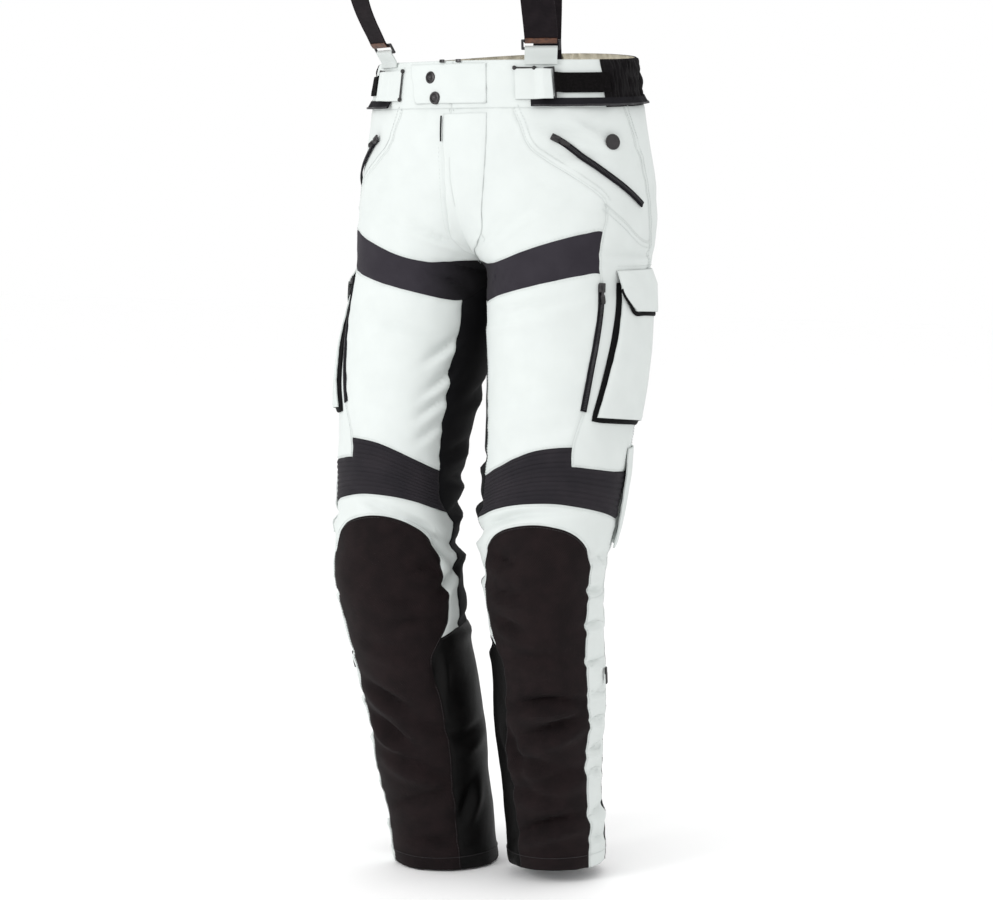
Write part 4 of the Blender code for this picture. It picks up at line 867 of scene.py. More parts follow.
def track(leg, table, shares, lift=0.0):
    """Points, normals, directions and chart places along an (u, depth) table on the cloth."""
    u, depth = columns_of(table, np.asarray(shares, float))
    points, normals = skin(leg, u, depth, lift)
    along = np.gradient(points, axis=0)
    along = unit(along - (along * normals).sum(-1, keepdims=True) * normals)
    return points, normals, along, (u, depth)


def track_length(leg, table):
    """Length of a table's line along the cloth."""
    return float(run_of(track(leg, table, np.linspace(0, 1, 41))[0])[-1])


def run_of(points):
    """Distance of each point along the line that they make."""
    return np.concatenate([[0], np.cumsum(np.linalg.norm(np.diff(points, axis=0), axis=1))])


def add_ribbon(bm, points, normals, along, profile, wall):
    """A long strip through points, with the profile's (side, height) pairs across it."""
    side = np.cross(normals, along)
    sides, heights = np.array(profile, float).T
    rows = (points[:, None] + side[:, None] * sides[None, :, None]
            + normals[:, None] * heights[None, :, None])
    lines = np.repeat(normals[:, None], len(profile), 1)
    lengths = np.repeat(run_of(points)[:, None], len(profile), 1)
    places = (np.broadcast_to(sides, rows.shape[:2]), lengths)
    add_grid(bm, rows, lines, wall, places)


def place_matrix(point, along, normal):
    """Matrix that takes X to a direction, Z to a normal and the origin to a point."""
    along, normal = np.array(along, float), np.array(normal, float)
    side = np.cross(normal, along)
    rows = np.stack([unit(along), unit(side), unit(normal)], 1)
    matrix = Matrix(rows.tolist()).to_4x4()
    matrix.translation = Vector(point)
    return matrix


def add_box(bm, matrix, size, bevel=0.0, segments=2):
    """A box of this size at the matrix, its edges rounded by the bevel."""
    made = bmesh.ops.create_cube(bm, size=1.0, matrix=matrix @ Matrix.Diagonal((*size, 1.0)))
    if bevel:
        edges = list({edge for vert in made["verts"] for edge in vert.link_edges})
        bmesh.ops.bevel(bm, geom=edges, offset=bevel, affect="EDGES", segments=segments,
                        profile=0.5, material=-1)


def add_lathe(bm, matrix, profile, steps=28):
    """A round piece from its (radius, height) profile, turned about the matrix's Z."""
    start = [bm.verts.new(matrix @ Vector((radius, 0.0, height))) for radius, height in profile]
    edges = [bm.edges.new(pair) for pair in zip(start, start[1:])]
    axis = matrix.to_3x3() @ Vector((0.0, 0.0, 1.0))
    bmesh.ops.spin(bm, geom=start + edges, cent=matrix.translation, axis=axis, steps=steps,
                   angle=2 * math.pi, use_merge=True)
    bmesh.ops.remove_doubles(bm, verts=bm.verts[:], dist=1e-6)
    bmesh.ops.recalc_face_normals(bm, faces=bm.faces[:])


def add_zip(leg, name, rise_up, pull_length, table):
    """Zip: its tape, its coil of teeth, its slider and the pull tab on the slider's nose."""
    length = track_length(leg, table)
    slider = SLIDER_LENGTH / length
    pivot = tab_hinge(leg, name)[0]
    shift = pivot - tab_place(leg, name, pull_length, table, slider)

    def laid(shares, lift):
        """The zip's track, eased to its own solid beside the slider."""
        points, normals, along, _ = track(leg, table, shares, lift)
        near = np.exp(-(np.asarray(shares) * length / ZIP_EASE)**2)
        return points + near[:, None] * shift, normals, along

    points, normals, along = laid(np.linspace(0, 1, 80), rise_up)
    half = ZIP_HALF
    profile = [(-half, 0.0002), (-half + 0.0008, 0.0009), (-0.0016, 0.0010), (-0.0010, 0.0006),
               (0.0010, 0.0006), (0.0016, 0.0010), (half - 0.0008, 0.0009), (half, 0.0002)]
    bm = new_sheet()
    add_ribbon(bm, points, normals, along, profile, 0.0009)
    close_sheet(bm, f"{leg}_{name}_tape", ["zip_tape"], f"{leg}_{name}")
    bm = bmesh.new()
    count = int(length / TEETH_PITCH)
    points, normals, along = laid(np.linspace(0.02, 0.985, count), rise_up + 0.0014)
    for n in range(count):
        add_box(bm, place_matrix(points[n], along[n], normals[n]), (0.0009, 0.0034, 0.0008))
    add_piece(bm, f"{leg}_{name}_teeth", ["zip_coil"])
    points, normals, along = laid(np.linspace(0.0, slider, 5), rise_up)
    point, normal, way = points[2], normals[2], along[2]
    bm = bmesh.new()
    place = place_matrix(point + normal * 0.0024, way, normal)
    add_box(bm, place, (SLIDER_LENGTH, 0.0088, 0.0028), 0.0010)
    nose = place_matrix(point + normal * 0.0042 + way * 0.0004, way, normal)
    add_box(bm, nose, (SLIDER_LENGTH * 0.62, 0.0026, 0.0014), 0.0005)
    bmesh.ops.recalc_face_normals(bm, faces=bm.faces[:])
    add_piece(bm, f"{leg}_{name}_slider", ["gunmetal"])
    add_pull(leg, name, pull_length)


def tab_hinge(leg, name):
    """Hinge point of a pull tab's solid, with its directions along the tab and off the cloth."""
    hinge = next(joint for joint in frame["joints"] if joint["name"] == f"{leg}_{name}_pull_hinge")
    pivot, axis = np.array(hinge["pos_m"]), unit(np.array(hinge["axis"]))
    corners = frame["nodes"][f"{leg}_{name}_pull"].data.vertices
    reach = np.mean([corner.co for corner in corners], axis=0) - pivot
    way = unit(reach - reach.dot(axis) * axis)
    return pivot, way, np.cross(axis, way)


def tab_place(leg, name, pull_length, table, slider):
    """Where the folded cloth alone would put a pull tab's hinge."""
    rise_up = ZIP_PULL_RISE[name]
    spots = [slider, slider + 0.5 * pull_length / ZIP_ABOUT]
    points, normals, _, _ = track(leg, table, spots + [spots[1] + 0.02])
    normal = normals[0]
    way = points[2] - points[1]
    way = unit(way - way.dot(normal) * normal) + PULL_TILT * normal
    way = unit(way)
    normal = np.cross(way, unit(np.cross(normal, way)))
    return points[0] + way * (PULL_CLEAR + 0.0004) + normal * (rise_up + TAPE_THICK + PULL_CLEAR)


def add_pull(leg, name, pull_length):
    """Pull tab of metal with a moulded grip; it turns about the slider's nose."""
    pivot, way, normal = tab_hinge(leg, name)
    side = np.cross(normal, way)
    steps = [(-0.0006, 0.0026), (0.0006, 0.0034), (0.0030, 0.0036), (0.0042, 0.0056),
             (0.006, PULL_WIDTH), (pull_length - 0.003, PULL_WIDTH), (pull_length - 0.001, 0.0050),
             (pull_length, 0.0036)]
    bm = new_sheet()
    rows = [[pivot + way * at + side * wide * (t - 0.5) + normal * PULL_THICK / 2
             for t in (0, 0.25, 0.5, 0.75, 1)] for at, wide in steps]
    lines = [[normal] * 5 for _ in steps]
    places = ([[0.0] * 5 for _ in steps], [[at] * 5 for at, _ in steps])
    add_grid(bm, rows, lines, PULL_THICK, places)
    close_sheet(bm, f"{leg}_{name}_pull_tab", ["gunmetal"], f"{leg}_{name}_pull",
                f"{leg}_{name}_pull_body")
    bm = bmesh.new()
    grip = place_matrix(pivot + way * (pull_length * 0.62) + normal * 0.0005, way, normal)
    add_box(bm, grip, (pull_length * 0.52, PULL_WIDTH * 0.72, 0.0022), 0.0008)
    for n in range(4):
        ridge = pivot + way * (pull_length * (0.44 + 0.12 * n)) + normal * 0.0017
        add_box(bm, place_matrix(ridge, way, normal), (0.0007, PULL_WIDTH * 0.6, 0.0005))
    add_piece(bm, f"{leg}_{name}_pull_grip", ["moulded_rubber"], body=f"{leg}_{name}_pull_body")


def add_jacket_zip():
    """The jacket's connection zip below the waistband, with its row of teeth."""
    bm = new_sheet()
    teeth = bmesh.new()
    for leg in LEGS:
        ends = np.linspace(0.185, 1.0, 170)
        u, depth = np.meshgrid(ends, np.linspace(0.0185, 0.0290, 5))
        flare = np.linspace(0, 1, 5)[:, None]
        wave = np.array([noise.noise(Vector((a * 26, 7.0, SIGN[leg]))) for a in ends])
        lift = 0.0014 + flare * (0.0022 + 0.0034 * np.clip(wave + 0.25, 0, 1)) + 0.0014
        points, normals = skin(leg, u, depth, lift)
        normals = on_middle(points, normals, u > 1 - 1e-4)
        add_grid(bm, points, normals, 0.0012, (u * CHART_ROUND, depth))
        run = np.linspace(0.19, 0.99, 270)
        flap = 0.0014 + 0.0022 + 0.0034 * np.clip(np.interp(run, ends, wave) + 0.25, 0, 1) + 0.0016
        points, normals = skin(leg, run, np.full_like(run, 0.0282), flap)
        along = np.gradient(points, axis=0)
        for point, normal, way in zip(points, normals, along):
            add_box(teeth, place_matrix(point, way, normal), (0.0010, 0.0026, 0.0012))
    bmesh.ops.remove_doubles(bm, verts=bm.verts[:], dist=1e-4)
    piece = close_sheet(bm, "jacket_zip_strip", ["zip_tape"], "jacket_zip_tape")
    add_piece(teeth, "jacket_zip_teeth", ["zip_coil"])


def add_frame(name, node, material, centre, wide, high, size, bar, bevel):
    """A rectangular ring of rounded bar in the plane of wide and high."""
    bm = bmesh.new()
    wide, high = unit(np.array(wide, float)), unit(np.array(high, float))
    normal = np.cross(wide, high)
    made = bmesh.ops.create_grid(bm, x_segments=3, y_segments=3, size=1.0)
    stops = [[0.0, bar, length - bar, length] for length in size]
    for vert in made["verts"]:
        x = stops[0][round((vert.co.x + 1) * 1.5)] - size[0] / 2
        y = stops[1][round((vert.co.y + 1) * 1.5)] - size[1] / 2
        vert.co = Vector(centre + wide * x + high * y - normal * bar / 2)
    hole = sorted(bm.faces, key=lambda f: (f.calc_center_median() - Vector(centre)).length)[:1]
    bmesh.ops.delete(bm, geom=hole, context="FACES")
    raised = bmesh.ops.extrude_face_region(bm, geom=bm.faces[:], use_keep_orig=True)
    moved = [item for item in raised["geom"] if isinstance(item, bmesh.types.BMVert)]
    bmesh.ops.translate(bm, verts=moved, vec=Vector(normal * bar))
    bmesh.ops.recalc_face_normals(bm, faces=bm.faces[:])
    edges = [edge for edge in bm.edges if edge.calc_face_angle(0.0) > 1.0]
    bmesh.ops.bevel(bm, geom=edges, offset=bar * bevel, affect="EDGES", segments=3, profile=0.5,
                    material=-1)
    return add_piece(bm, name, [material], node)


def adjuster_tab_height(across, down):
    """The white tab lies on the band and its end is folded round the ring's front bar."""
    return np.interp(across, (0.0, 0.55, 0.76, 1.0), (0.0014, 0.0022, 0.0086, 0.0078)) + 0.0010 * down


def adjuster_strap_height(across, down):
    """The strap is folded round the ring's rear bar and lies down on the band."""
    return np.interp(across, (0.0, 0.05, 0.13, 1.0), (0.0086, 0.0084, 0.0026, 0.0020)) + 0.0004 * down


def add_adjusters():
    """Waist adjuster: white tab with its dark edge and knobs, slim ring, hook-and-loop strap."""
    for leg in LEGS:
        add_overlay(leg, "adjuster_tab", ["white_cloth", "black_lining"], ADJUSTER_TAB, 18, 10,
                    adjuster_tab_height, 0.0018, 0.3)
        add_overlay(leg, "adjuster_strap", ["hook_tape"], ADJUSTER_STRAP, 60, 8,
                    adjuster_strap_height, 0.0018, 0.3)
        bm = new_sheet()
        points, normals, along, _ = track(leg, ADJUSTER_EDGE[leg], np.linspace(0, 1, 24), 0.0036)
        add_ribbon(bm, points, normals, along, [(-0.0010, 0.0), (0.0, 0.0006), (0.0010, 0.0)], 0.0008)
        close_sheet(bm, f"{leg}_adjuster_edge", ["moulded_rubber"])
        bm = bmesh.new()
        for n in (1, -2):
            add_lathe(bm, place_matrix(points[n], along[n], normals[n]), ADJUSTER_KNOB, 16)
        add_piece(bm, f"{leg}_adjuster_edge_knobs", ["moulded_rubber"])
        u = np.array(ADJUSTER_RING_U)
        point, normal = skin(leg, u, np.array(0.0))
        down = skin(leg, u, np.array(0.02))[0] - skin(leg, u, np.array(-0.02))[0]
        add_frame(f"{leg}_adjuster_ring_bar", f"{leg}_adjuster_ring", "moulded_plastic",
                  point + normal * 0.0068, np.cross(normal, down), down, (0.014, 0.040), 0.0024, 0.3)


def brace_rows(leg):
    """A brace's whole table, the left one with its foot inside the back of the waistband."""
    rows = BRACE_FRONT + BRACE_BACK[leg]
    if leg == "left":
        u = np.array(1 + BRACE_FOOT_X / (np.pi * WAIST_HALF_WIDTH))
        for depth in BRACE_FOOT_DEPTHS:
            point, normal = skin("right", u, np.array(depth))
            rows.append(tuple(point - normal * BRACE_FOOT_INSIDE) + BRACE_FOOT_WIDE)
    return rows


def add_brace(leg):
    """Elastic brace over the shoulder, with its ring, its loop and the strap's folded end."""
    sign = SIGN[leg]
    x, y, z, wide_x, wide_y, wide_z = columns_of(brace_rows(leg), np.linspace(0, 1, 260))
    points = np.stack([sign * x, y, z], -1)
    along = unit(np.gradient(points, axis=0))
    normals = unit(np.cross(along, np.stack([wide_x, sign * wide_y, sign * wide_z], -1)))
    bm = new_sheet()
    add_ribbon(bm, points, normals, along, STRAP_PROFILE, STRAP_WALL)
    piece = close_sheet(bm, f"{leg}_brace_strap", ["brace_elastic"], f"{leg}_brace")
    upper_end, lower_end = (points[np.searchsorted(run_of(points), far)] for far in STRAP_END_SPAN)
    add_brace_fittings(leg, upper_end, lower_end)


def add_brace_fittings(leg, upper_end, lower_end):
    """The brace's ring, the white loop below it and the strap's end folded over it."""
    sign = SIGN[leg]
    at = np.array([sign * RING_AT[0], RING_AT[1], RING_AT[2]])
    wide = unit(np.array([RING_WIDE[0], sign * RING_WIDE[1], 0.0]))
    high = unit(np.array([sign * RING_HIGH[0], RING_HIGH[1], RING_HIGH[2]]))
    facing = unit(np.cross(wide, high))
    add_frame(f"{leg}_brace_ring_bar", f"{leg}_brace_ring", "moulded_plastic", at, wide, high,
              RING_SIZE, RING_BAR, 0.3)
    out = facing if facing[1] < 0 else -facing
    foot, normal = skin(leg, np.array(BRACE_LOOP_U), np.array(-0.0235))
    rim = skin(leg, np.array(BRACE_LOOP_U), np.array(-0.0302))[0]
    lower = at - high * (RING_SIZE[1] / 2 - RING_BAR / 2)
    upper = at + high * (RING_SIZE[1] / 2 - RING_BAR / 2)
    reach = RING_BAR / 2 + 0.0022
    front = [foot + normal * 0.0034, rim + normal * 0.0036, lower + out * reach]
    wrap = [lower + out * reach * math.cos(a) + high * reach * math.sin(a) for a in (0.6, 1.2, 1.9, 2.6)]
    add_loop(f"{leg}_brace_loop_cloth", "white_cloth", front + wrap, wide, out, f"{leg}_brace_loop",
             0.0016, 0.98)
    fold = [upper + out * (reach + 0.0006) - high * 0.0012]
    fold += [upper + out * reach * math.cos(a) - high * reach * math.sin(a) for a in (0.7, 1.4, 2.2)]
    head = [upper_end + out * 0.0030, lower_end + out * 0.0026]
    add_loop(f"{leg}_brace_strap_end", "tan_leather", head + fold, wide, out, None, 0.0014, 0.96)


def add_loop(name, material, spine, wide, out, node, wall, share):
    """A short band of cloth along a spine, whose face starts towards out."""
    keys = np.linspace(0, 1, len(spine))
    fine = np.linspace(0, 1, 30)
    line = np.stack([np.interp(fine, keys, column) for column in np.array(spine).T], -1)
    for _ in range(2):
        line[1:-1] = (line[:-2] + 2 * line[1:-1] + line[2:]) / 4
    along = unit(np.gradient(line, axis=0))
    normals = unit(np.cross(along, wide))
    if (normals[0] * out).sum() < 0:
        normals = -normals
    sides = np.linspace(-0.5, 0.5, 9) * STRAP_WIDTH * share
    rows = line[:, None] + wide[None, None] * sides[None, :, None]
    run = np.linspace(0, 0.03, len(line))
    places = (np.broadcast_to(sides, rows.shape[:2]), np.repeat(run[:, None], 9, 1))
    bm = new_sheet()
    add_grid(bm, rows, np.repeat(normals[:, None], 9, 1), wall, places)
    piece = close_sheet(bm, name, [material], node)


def add_snaps():
    """Two snap caps of the waist closure."""
    profile = [(0.0, 0.0016), (0.0034, 0.0015), (0.0042, 0.0007), (0.0050, 0.0007),
               (0.0058, 0.0018), (0.0074, 0.0020), (0.0083, 0.0013), (0.0085, 0.0004), (0.0085, -0.0020)]
    bm = bmesh.new()
    for u, depth in SNAPS:
        point, normal = skin("right", np.array(u), np.array(depth))
        lift = 0.0014 * (1 + (depth + 0.026) / 0.05) + 0.0030
        add_lathe(bm, place_matrix(point + normal * lift, np.array([1.0, 0.2, 0.1]), normal), profile)
    add_piece(bm, "waist_snap_caps", ["gunmetal"])


def add_hip_dome():
    """The plain dome on the left hip."""
    point, normal = skin("left", np.array(DOME_AT[0]), np.array(DOME_AT[1]))
    low = skin("left", np.array(DOME_AT[0]), np.array(DOME_AT[1] + 0.01))[0]
    down = low - point
    dome = [(0.0, 0.0022), (0.0040, 0.0021), (0.0066, 0.0018), (0.0072, 0.0012), (0.0080, 0.0014),
            (0.0086, 0.0008), (0.0087, -0.0004)]
    bm = bmesh.new()
    place = place_matrix(point + normal * 0.0002, down, normal)
    add_lathe(bm, place @ Matrix.Diagonal((1.2, 0.98, 1.0, 1.0)), dome)
    add_piece(bm, "left_hip_plain_dome", ["moulded_rubber"])


def add_placket_shadow():
    """Dark strip of zip tape beside the placket's edge: painted shadow of the placket."""
    bm = new_sheet()
    points, normals, along, _ = track("right", FLY_PLACKET_SHADOW, np.linspace(0, 1, 24), 0.0034)
    profile = [(-0.0011, 0.0), (-0.0004, 0.0004), (0.0004, 0.0004), (0.0011, 0.0)]
    add_ribbon(bm, points, normals, along, profile, 0.0006)
    close_sheet(bm, "fly_placket_painted_shadow", ["zip_tape"])


def add_band_hooks():
    """Two small hooks on the waistband's top edge."""
    bm = bmesh.new()
    for leg, u in BAND_HOOKS:
        point, normal = skin(leg, np.array(u), np.array(-0.0295), 0.0024)
        along = skin(leg, np.array(u + 0.01), np.array(-0.0295), 0.0024)[0] - point
        add_box(bm, place_matrix(point, along, normal), (0.0070, 0.0040, 0.0022), 0.0006)
    add_piece(bm, "band_top_hooks", ["gunmetal"])


def add_calf_pullers():
    """Pullers of the zips on the outside of the calves."""
    for leg in LEGS:
        bm = bmesh.new()
        points, normals, along, _ = track(leg, CALF_PULLER, (0.0, 0.3, 1.0), 0.0028)
        add_box(bm, place_matrix(points[0], along[0], normals[0]), (0.0090, 0.0064, 0.0026), 0.0008)
        middle = (points[1] + points[2]) / 2 + normals[1] * 0.0012
        add_box(bm, place_matrix(middle, along[1], normals[1]), (0.0150, 0.0058, 0.0018), 0.0007)
        add_piece(bm, f"{leg}_calf_zip_puller", ["moulded_rubber"])


def stitch_run(thread, leg, table, offset=0.0, lift=0.0004, away=0.0025, pitch=0.0036):
    """Stitches along a line of (u, depth) rows, moved sideways by offset along the cloth."""
    u, depth = (np.array(column, float) for column in zip(*table))
    run = np.concatenate([[0], np.cumsum(np.hypot(np.diff(u) * CHART_ROUND, np.diff(depth)))])
    count = max(3, int(run[-1] / pitch))
    keys = np.linspace(0.4 * pitch, run[-1] - 0.4 * pitch, count)
    u, depth = curve(list(zip(run, u)), keys), curve(list(zip(run, depth)), keys)
    points, normals = skin(leg, u, depth)
    along = unit(np.gradient(points, axis=0))
    side = unit(np.cross(normals, along))
    points = points + side * offset
    points = points + normals * (relief(points, np.full(count, away)) + lift)[:, None]
    bm = bmesh.new()
    for point, normal, way in zip(points, normals, along):
        add_box(bm, place_matrix(point, way, normal), (0.0025, 0.0006, 0.0005))
    mesh = bpy.data.meshes.new("run")
    bm.to_mesh(mesh)
    bm.free()
    thread.from_mesh(mesh)
    bpy.data.meshes.remove(mesh)


def seam_path(leg, kind, name, start, end):
    """(u, depth) rows along a seam, from one crossing seam to another."""
    if kind == "column":
        line = COLUMN_AT[name]
        rows = np.linspace(ROW_AT[start], ROW_AT[end], 60)
        u, depth = chart(leg, rows, np.array([float(line)]))
        return list(zip(u[:, 0], depth[:, 0]))
    line = ROW_AT[name]
    columns = np.linspace(COLUMN_AT[start], COLUMN_AT[end], 60)
    u, depth = chart(leg, np.array([float(line)]), columns)
    return list(zip(u[0], depth[0]))


# Rows of topstitching: thread, kind of seam, seam, from, to, offsets from it in metres.
STITCHED = [
    ("pale_thread", "column", "side_front", "waist", "hip", (0.0022, 0.0080)),
    ("pale_thread", "column", "side_front", "hip", "rib_step", (0.0022,)),
    ("pale_thread", "column", "side_back", "waist", "calf_top", (0.0022, 0.0070)),
    ("pale_thread", "column", "front_middle", "waist", "band_top", (0.0030,)),
    ("pale_thread", "column", "back_middle", "waist", "band_bottom", (-0.0024,)),
    ("pale_thread", "column", "gusset_front", "band_bottom", "rib_top", (0.0022,)),
    ("pale_thread", "column", "side_front", "arch", "hem", (0.0022,)),
    ("pale_thread", "column", "gusset_back", "band_bottom", "calf_top", (-0.0022,)),
    ("pale_thread", "row", "hip", "side_front", "side_back", (0.0022, 0.0080)),
    ("pale_thread", "row", "band_top", "front_middle", "side_front", (-0.0022,)),
    ("pale_thread", "row", "band_bottom", "gusset_front", "side_front", (0.0022,)),
    ("pale_thread", "row", "rib_top", "gusset_front", "side_front", (-0.0022,)),
    ("pale_thread", "row", "rib_step", "side_front", "side_back", (-0.0022,)),
    ("pale_thread", "row", "rib_bottom", "gusset_front", "side_back", (0.0022,)),
    ("pale_thread", "row", "arch", "shin_inner", "side_front", (-0.0026,)),
    ("dark_thread", "row", "arch", "shin_inner", "side_front", (0.0026,)),
    ("dark_thread", "column", "shin_inner", "arch", "hem", (0.0024,)),
    ("dark_thread", "column", "side_back", "calf_top", "hem", (0.0024,)),
    ("dark_thread", "column", "side_front", "arch", "hem", (-0.0024,)),
    ("dark_thread", "row", "calf_top", "front_middle", "shin_inner", (0.0024,)),
    ("dark_thread", "column", "gusset_back", "calf_top", "hem", (0.0024,)),
]


# Topstitching off the seams: leg, offset, height over the cloth, (u, depth) rows.
FREE_STITCHES = [
    ("left", 0.0, 0.0004, [(0.085, 0.036), (0.088, 0.060), (0.095, 0.087), (0.117, 0.159),
                           (0.137, 0.176)]),
    ("right", 0.0, 0.0046, [(0.024, 0.060), (0.028, 0.088), (0.050, 0.130), (0.066, 0.160)]),
    ("left", 0.0, 0.0004, [(0.443, 0.2290), (0.500, 0.2300), (0.606, 0.2300)]),
    ("right", 0.0, 0.0004, [(0.443, 0.2290), (0.500, 0.2300), (0.606, 0.2300)]),
]
# Stitching of the turned hem: thread, from u, to u; and its height over the hem's edge.
HEM_STITCHES = [("pale_thread", 0.42, 0.5385), ("dark_thread", 0.535, 0.995),
                ("dark_thread", 0.005, 0.41)]
HEM_TURNED = 0.018
# Rows of stitching across the outer strip of the lower leg, by depth.
STRIP_STITCHES = (0.642, 0.686, 0.737, 0.778, 0.816, 0.856, 0.889, 0.946, 0.982)


def add_stitching():
    """Every run of topstitching, one piece for each thread on each half."""
    for leg in LEGS:
        threads = {"pale_thread": bmesh.new(), "dark_thread": bmesh.new()}
        for side, offset, lift, path in FREE_STITCHES:
            if side == leg:
                stitch_run(threads["pale_thread"], leg, path, offset, lift, 0.02)
        for depth in STRIP_STITCHES:
            path = [(u, depth + 0.004 * math.sin(40 * u + depth * 90))
                    for u in (0.424, 0.45, 0.48, 0.518)]
            stitch_run(threads["pale_thread"], leg, path, 0.0, 0.0004, 0.02)
        for thread, kind, name, start, end, offsets in STITCHED:
            path = seam_path(leg, kind, name, start, end)
            for offset in offsets:
                side = offset * SIGN[leg] * (1 if kind == "column" else -1)
                stitch_run(threads[thread], leg, path, side, away=abs(offset))
        for thread, start, end in HEM_STITCHES:
            hem = [(u, HEM_DEPTH[leg] - HEM_TURNED) for u in np.linspace(start, end, 40)]
            stitch_run(threads[thread], leg, hem, away=0.02, lift=0.0010)
        for thread, bm in threads.items():
            add_piece(bm, f"{leg}_{thread}_topstitch", [thread])


# Materials: colours are sRGB hex, scales come from real millimetres.
def linear(colour):
    """Linear RGBA of an sRGB hex colour."""
    parts = [int(colour[n:n + 2], 16) / 255 for n in (1, 3, 5)]
    return [c / 12.92 if c <= 0.04045 else ((c + 0.055) / 1.055)**2.4 for c in parts] + [1.0]


def add_node(tree, kind, inputs=None, **settings):
    """Add a node with its settings; an input is a value or another node's output."""
    made = tree.nodes.new(kind)
    for name, value in settings.items():
        setattr(made, name, value)
    for key, value in (inputs or {}).items():
        if isinstance(value, bpy.types.NodeSocket):
            tree.links.new(value, made.inputs[key])
        else:
            made.inputs[key].default_value = value
    return made


def grain(mm):
    """Scale of a noise or Voronoi pattern with features this far apart."""
    return 1000.0 / mm


def bands(mm):
    """Scale of a wave pattern with bands this far apart."""
    return 1000.0 * math.pi / 10 / mm


def start_material(name, **sockets):
    """A material whose Principled shader has these constants on its own sockets."""
    material = bpy.data.materials.new(name)
    material.use_nodes = True
    MATERIALS[name] = material
    tree = material.node_tree
    shader = tree.nodes["Principled BSDF"]
    for key, value in sockets.items():
        shader.inputs[key.replace("_", " ")].default_value = value
    place = add_node(tree, "ShaderNodeTexCoord").outputs["Object"]
    surface = add_node(tree, "ShaderNodeAttribute", attribute_name="chart").outputs["Vector"]
    return tree, shader, place, surface


def mottled(tree, vector, colour, other, mm, low=0.35, high=0.65):
    """Colour that drifts between two over this many millimetres."""
    noisy = add_node(tree, "ShaderNodeTexNoise", {"Vector": vector, "Scale": grain(mm), "Detail": 3.0})
    share = add_node(tree, "ShaderNodeMapRange",
                     {"Value": noisy.outputs["Fac"], "From Min": low, "From Max": high})
    mixed = add_node(tree, "ShaderNodeMix", {"Factor": share.outputs["Result"], 6: linear(colour),
                                             7: linear(other)}, data_type="RGBA")
    return mixed.outputs[2]


def painted_seam_shade(tree, colour, dark, reach):
    """The colour darkened within reach of the cloth's edge: painted shade along the seams."""
    away = add_node(tree, "ShaderNodeAttribute", attribute_name="seam").outputs["Fac"]
    share = add_node(tree, "ShaderNodeMapRange", {"Value": away, "From Max": reach,
                                                  "To Min": 1.0, "To Max": 0.0})
    mixed = add_node(tree, "ShaderNodeMix", {"Factor": share.outputs["Result"], 6: colour,
                                             7: linear(dark)}, data_type="RGBA")
    return mixed.outputs[2]


def woven_height(tree, surface, mm, twill=False):
    """Height of a plain weave, or of a twill's diagonal, with threads this far apart."""
    if twill:
        turned = add_node(tree, "ShaderNodeMapping",
                          {"Vector": surface, "Rotation": (0.0, 0.0, math.radians(35))})
        wave = add_node(tree, "ShaderNodeTexWave", {"Vector": turned.outputs["Vector"],
                                                    "Scale": bands(mm)}, bands_direction="X")
        return wave.outputs["Fac"]
    waves = [add_node(tree, "ShaderNodeTexWave", {"Vector": surface, "Scale": bands(mm)},
                      bands_direction=way).outputs["Fac"] for way in "XY"]
    return add_node(tree, "ShaderNodeMath", {0: waves[0], 1: waves[1]},
                    operation="MAXIMUM").outputs["Value"]


def bump(tree, shader, height, distance, strength=1.0):
    """Raise the surface by this distance in metres where the height is 1."""
    made = add_node(tree, "ShaderNodeBump", {"Height": height, "Distance": distance,
                                             "Strength": strength})
    tree.links.new(made.outputs["Normal"], shader.inputs["Normal"])


def cloth_material(name, colour, other, thread, depth, roughness, sheen, dark=None, twill=False,
                   drift=35.0):
    """Woven or knitted cloth: drifting colour, threads as bump, a soft sheen at the edges, and painted
    shade along the seams in the dark colour.
    """
    tree, shader, place, surface = start_material(name, Roughness=roughness, Sheen_Weight=sheen,
                                                  Sheen_Roughness=0.5, Specular_IOR_Level=0.10)
    shown = mottled(tree, place, colour, other, drift)
    # Painted shade along the seams, in the dark colour.
    if dark:
        shown = painted_seam_shade(tree, shown, dark, 0.0016)
    tree.links.new(shown, shader.inputs["Base Color"])
    fuzz = add_node(tree, "ShaderNodeTexNoise", {"Vector": place, "Scale": grain(thread * 1.5)})
    height = add_node(tree, "ShaderNodeMath", {0: woven_height(tree, surface, thread, twill),
                                               1: fuzz.outputs["Fac"]}, operation="ADD")
    bump(tree, shader, height.outputs["Value"], depth)
    return tree, shader, place, surface


MATERIALS = {}


def make_cloths():
    """The woven and knitted cloths, each with its own weave, colour and dryness."""
    # The last colour on a line, where given, is painted shade along the seams.
    # Coated polyester laminate: near-white and matt, with a barely seen plain weave.
    cloth_material("white_cloth", "#D2D7D5", "#CFD4D2", 1.1, 0.00006, 0.80, 0.0, "#C3C8C6")
    # Quilted stretch knit above the knee: its ribs are in the mesh.
    cloth_material("grey_ribbed", "#2A272B", "#242226", 1.2, 0.00012, 0.85, 0.04, "#161517")
    # Two-way stretch of the inner thigh: black and matt.
    cloth_material("black_stretch", "#151517", "#111113", 1.2, 0.00010, 0.88, 0.02, "#0C0C0D")
    # Abrasion cloth of the shins: warm black, coarse and dry.
    cloth_material("shin_cloth", "#1C1415", "#150F10", 1.8, 0.00022, 0.80, 0.02, "#0E0B0B", True, 22.0)
    # Zip tape: a fine black twill.
    cloth_material("zip_tape", "#1E1D21", "#171619", 1.0, 0.00012, 0.85, 0.0, None, True)
    # Cream cotton inside the waistband, and the black lining of the pockets.
    cloth_material("cream_lining", "#D8D1BE", "#CDC6B2", 1.2, 0.00008, 0.88, 0.0)
    cloth_material("black_lining", "#151416", "#111012", 1.2, 0.00008, 0.88, 0.02)


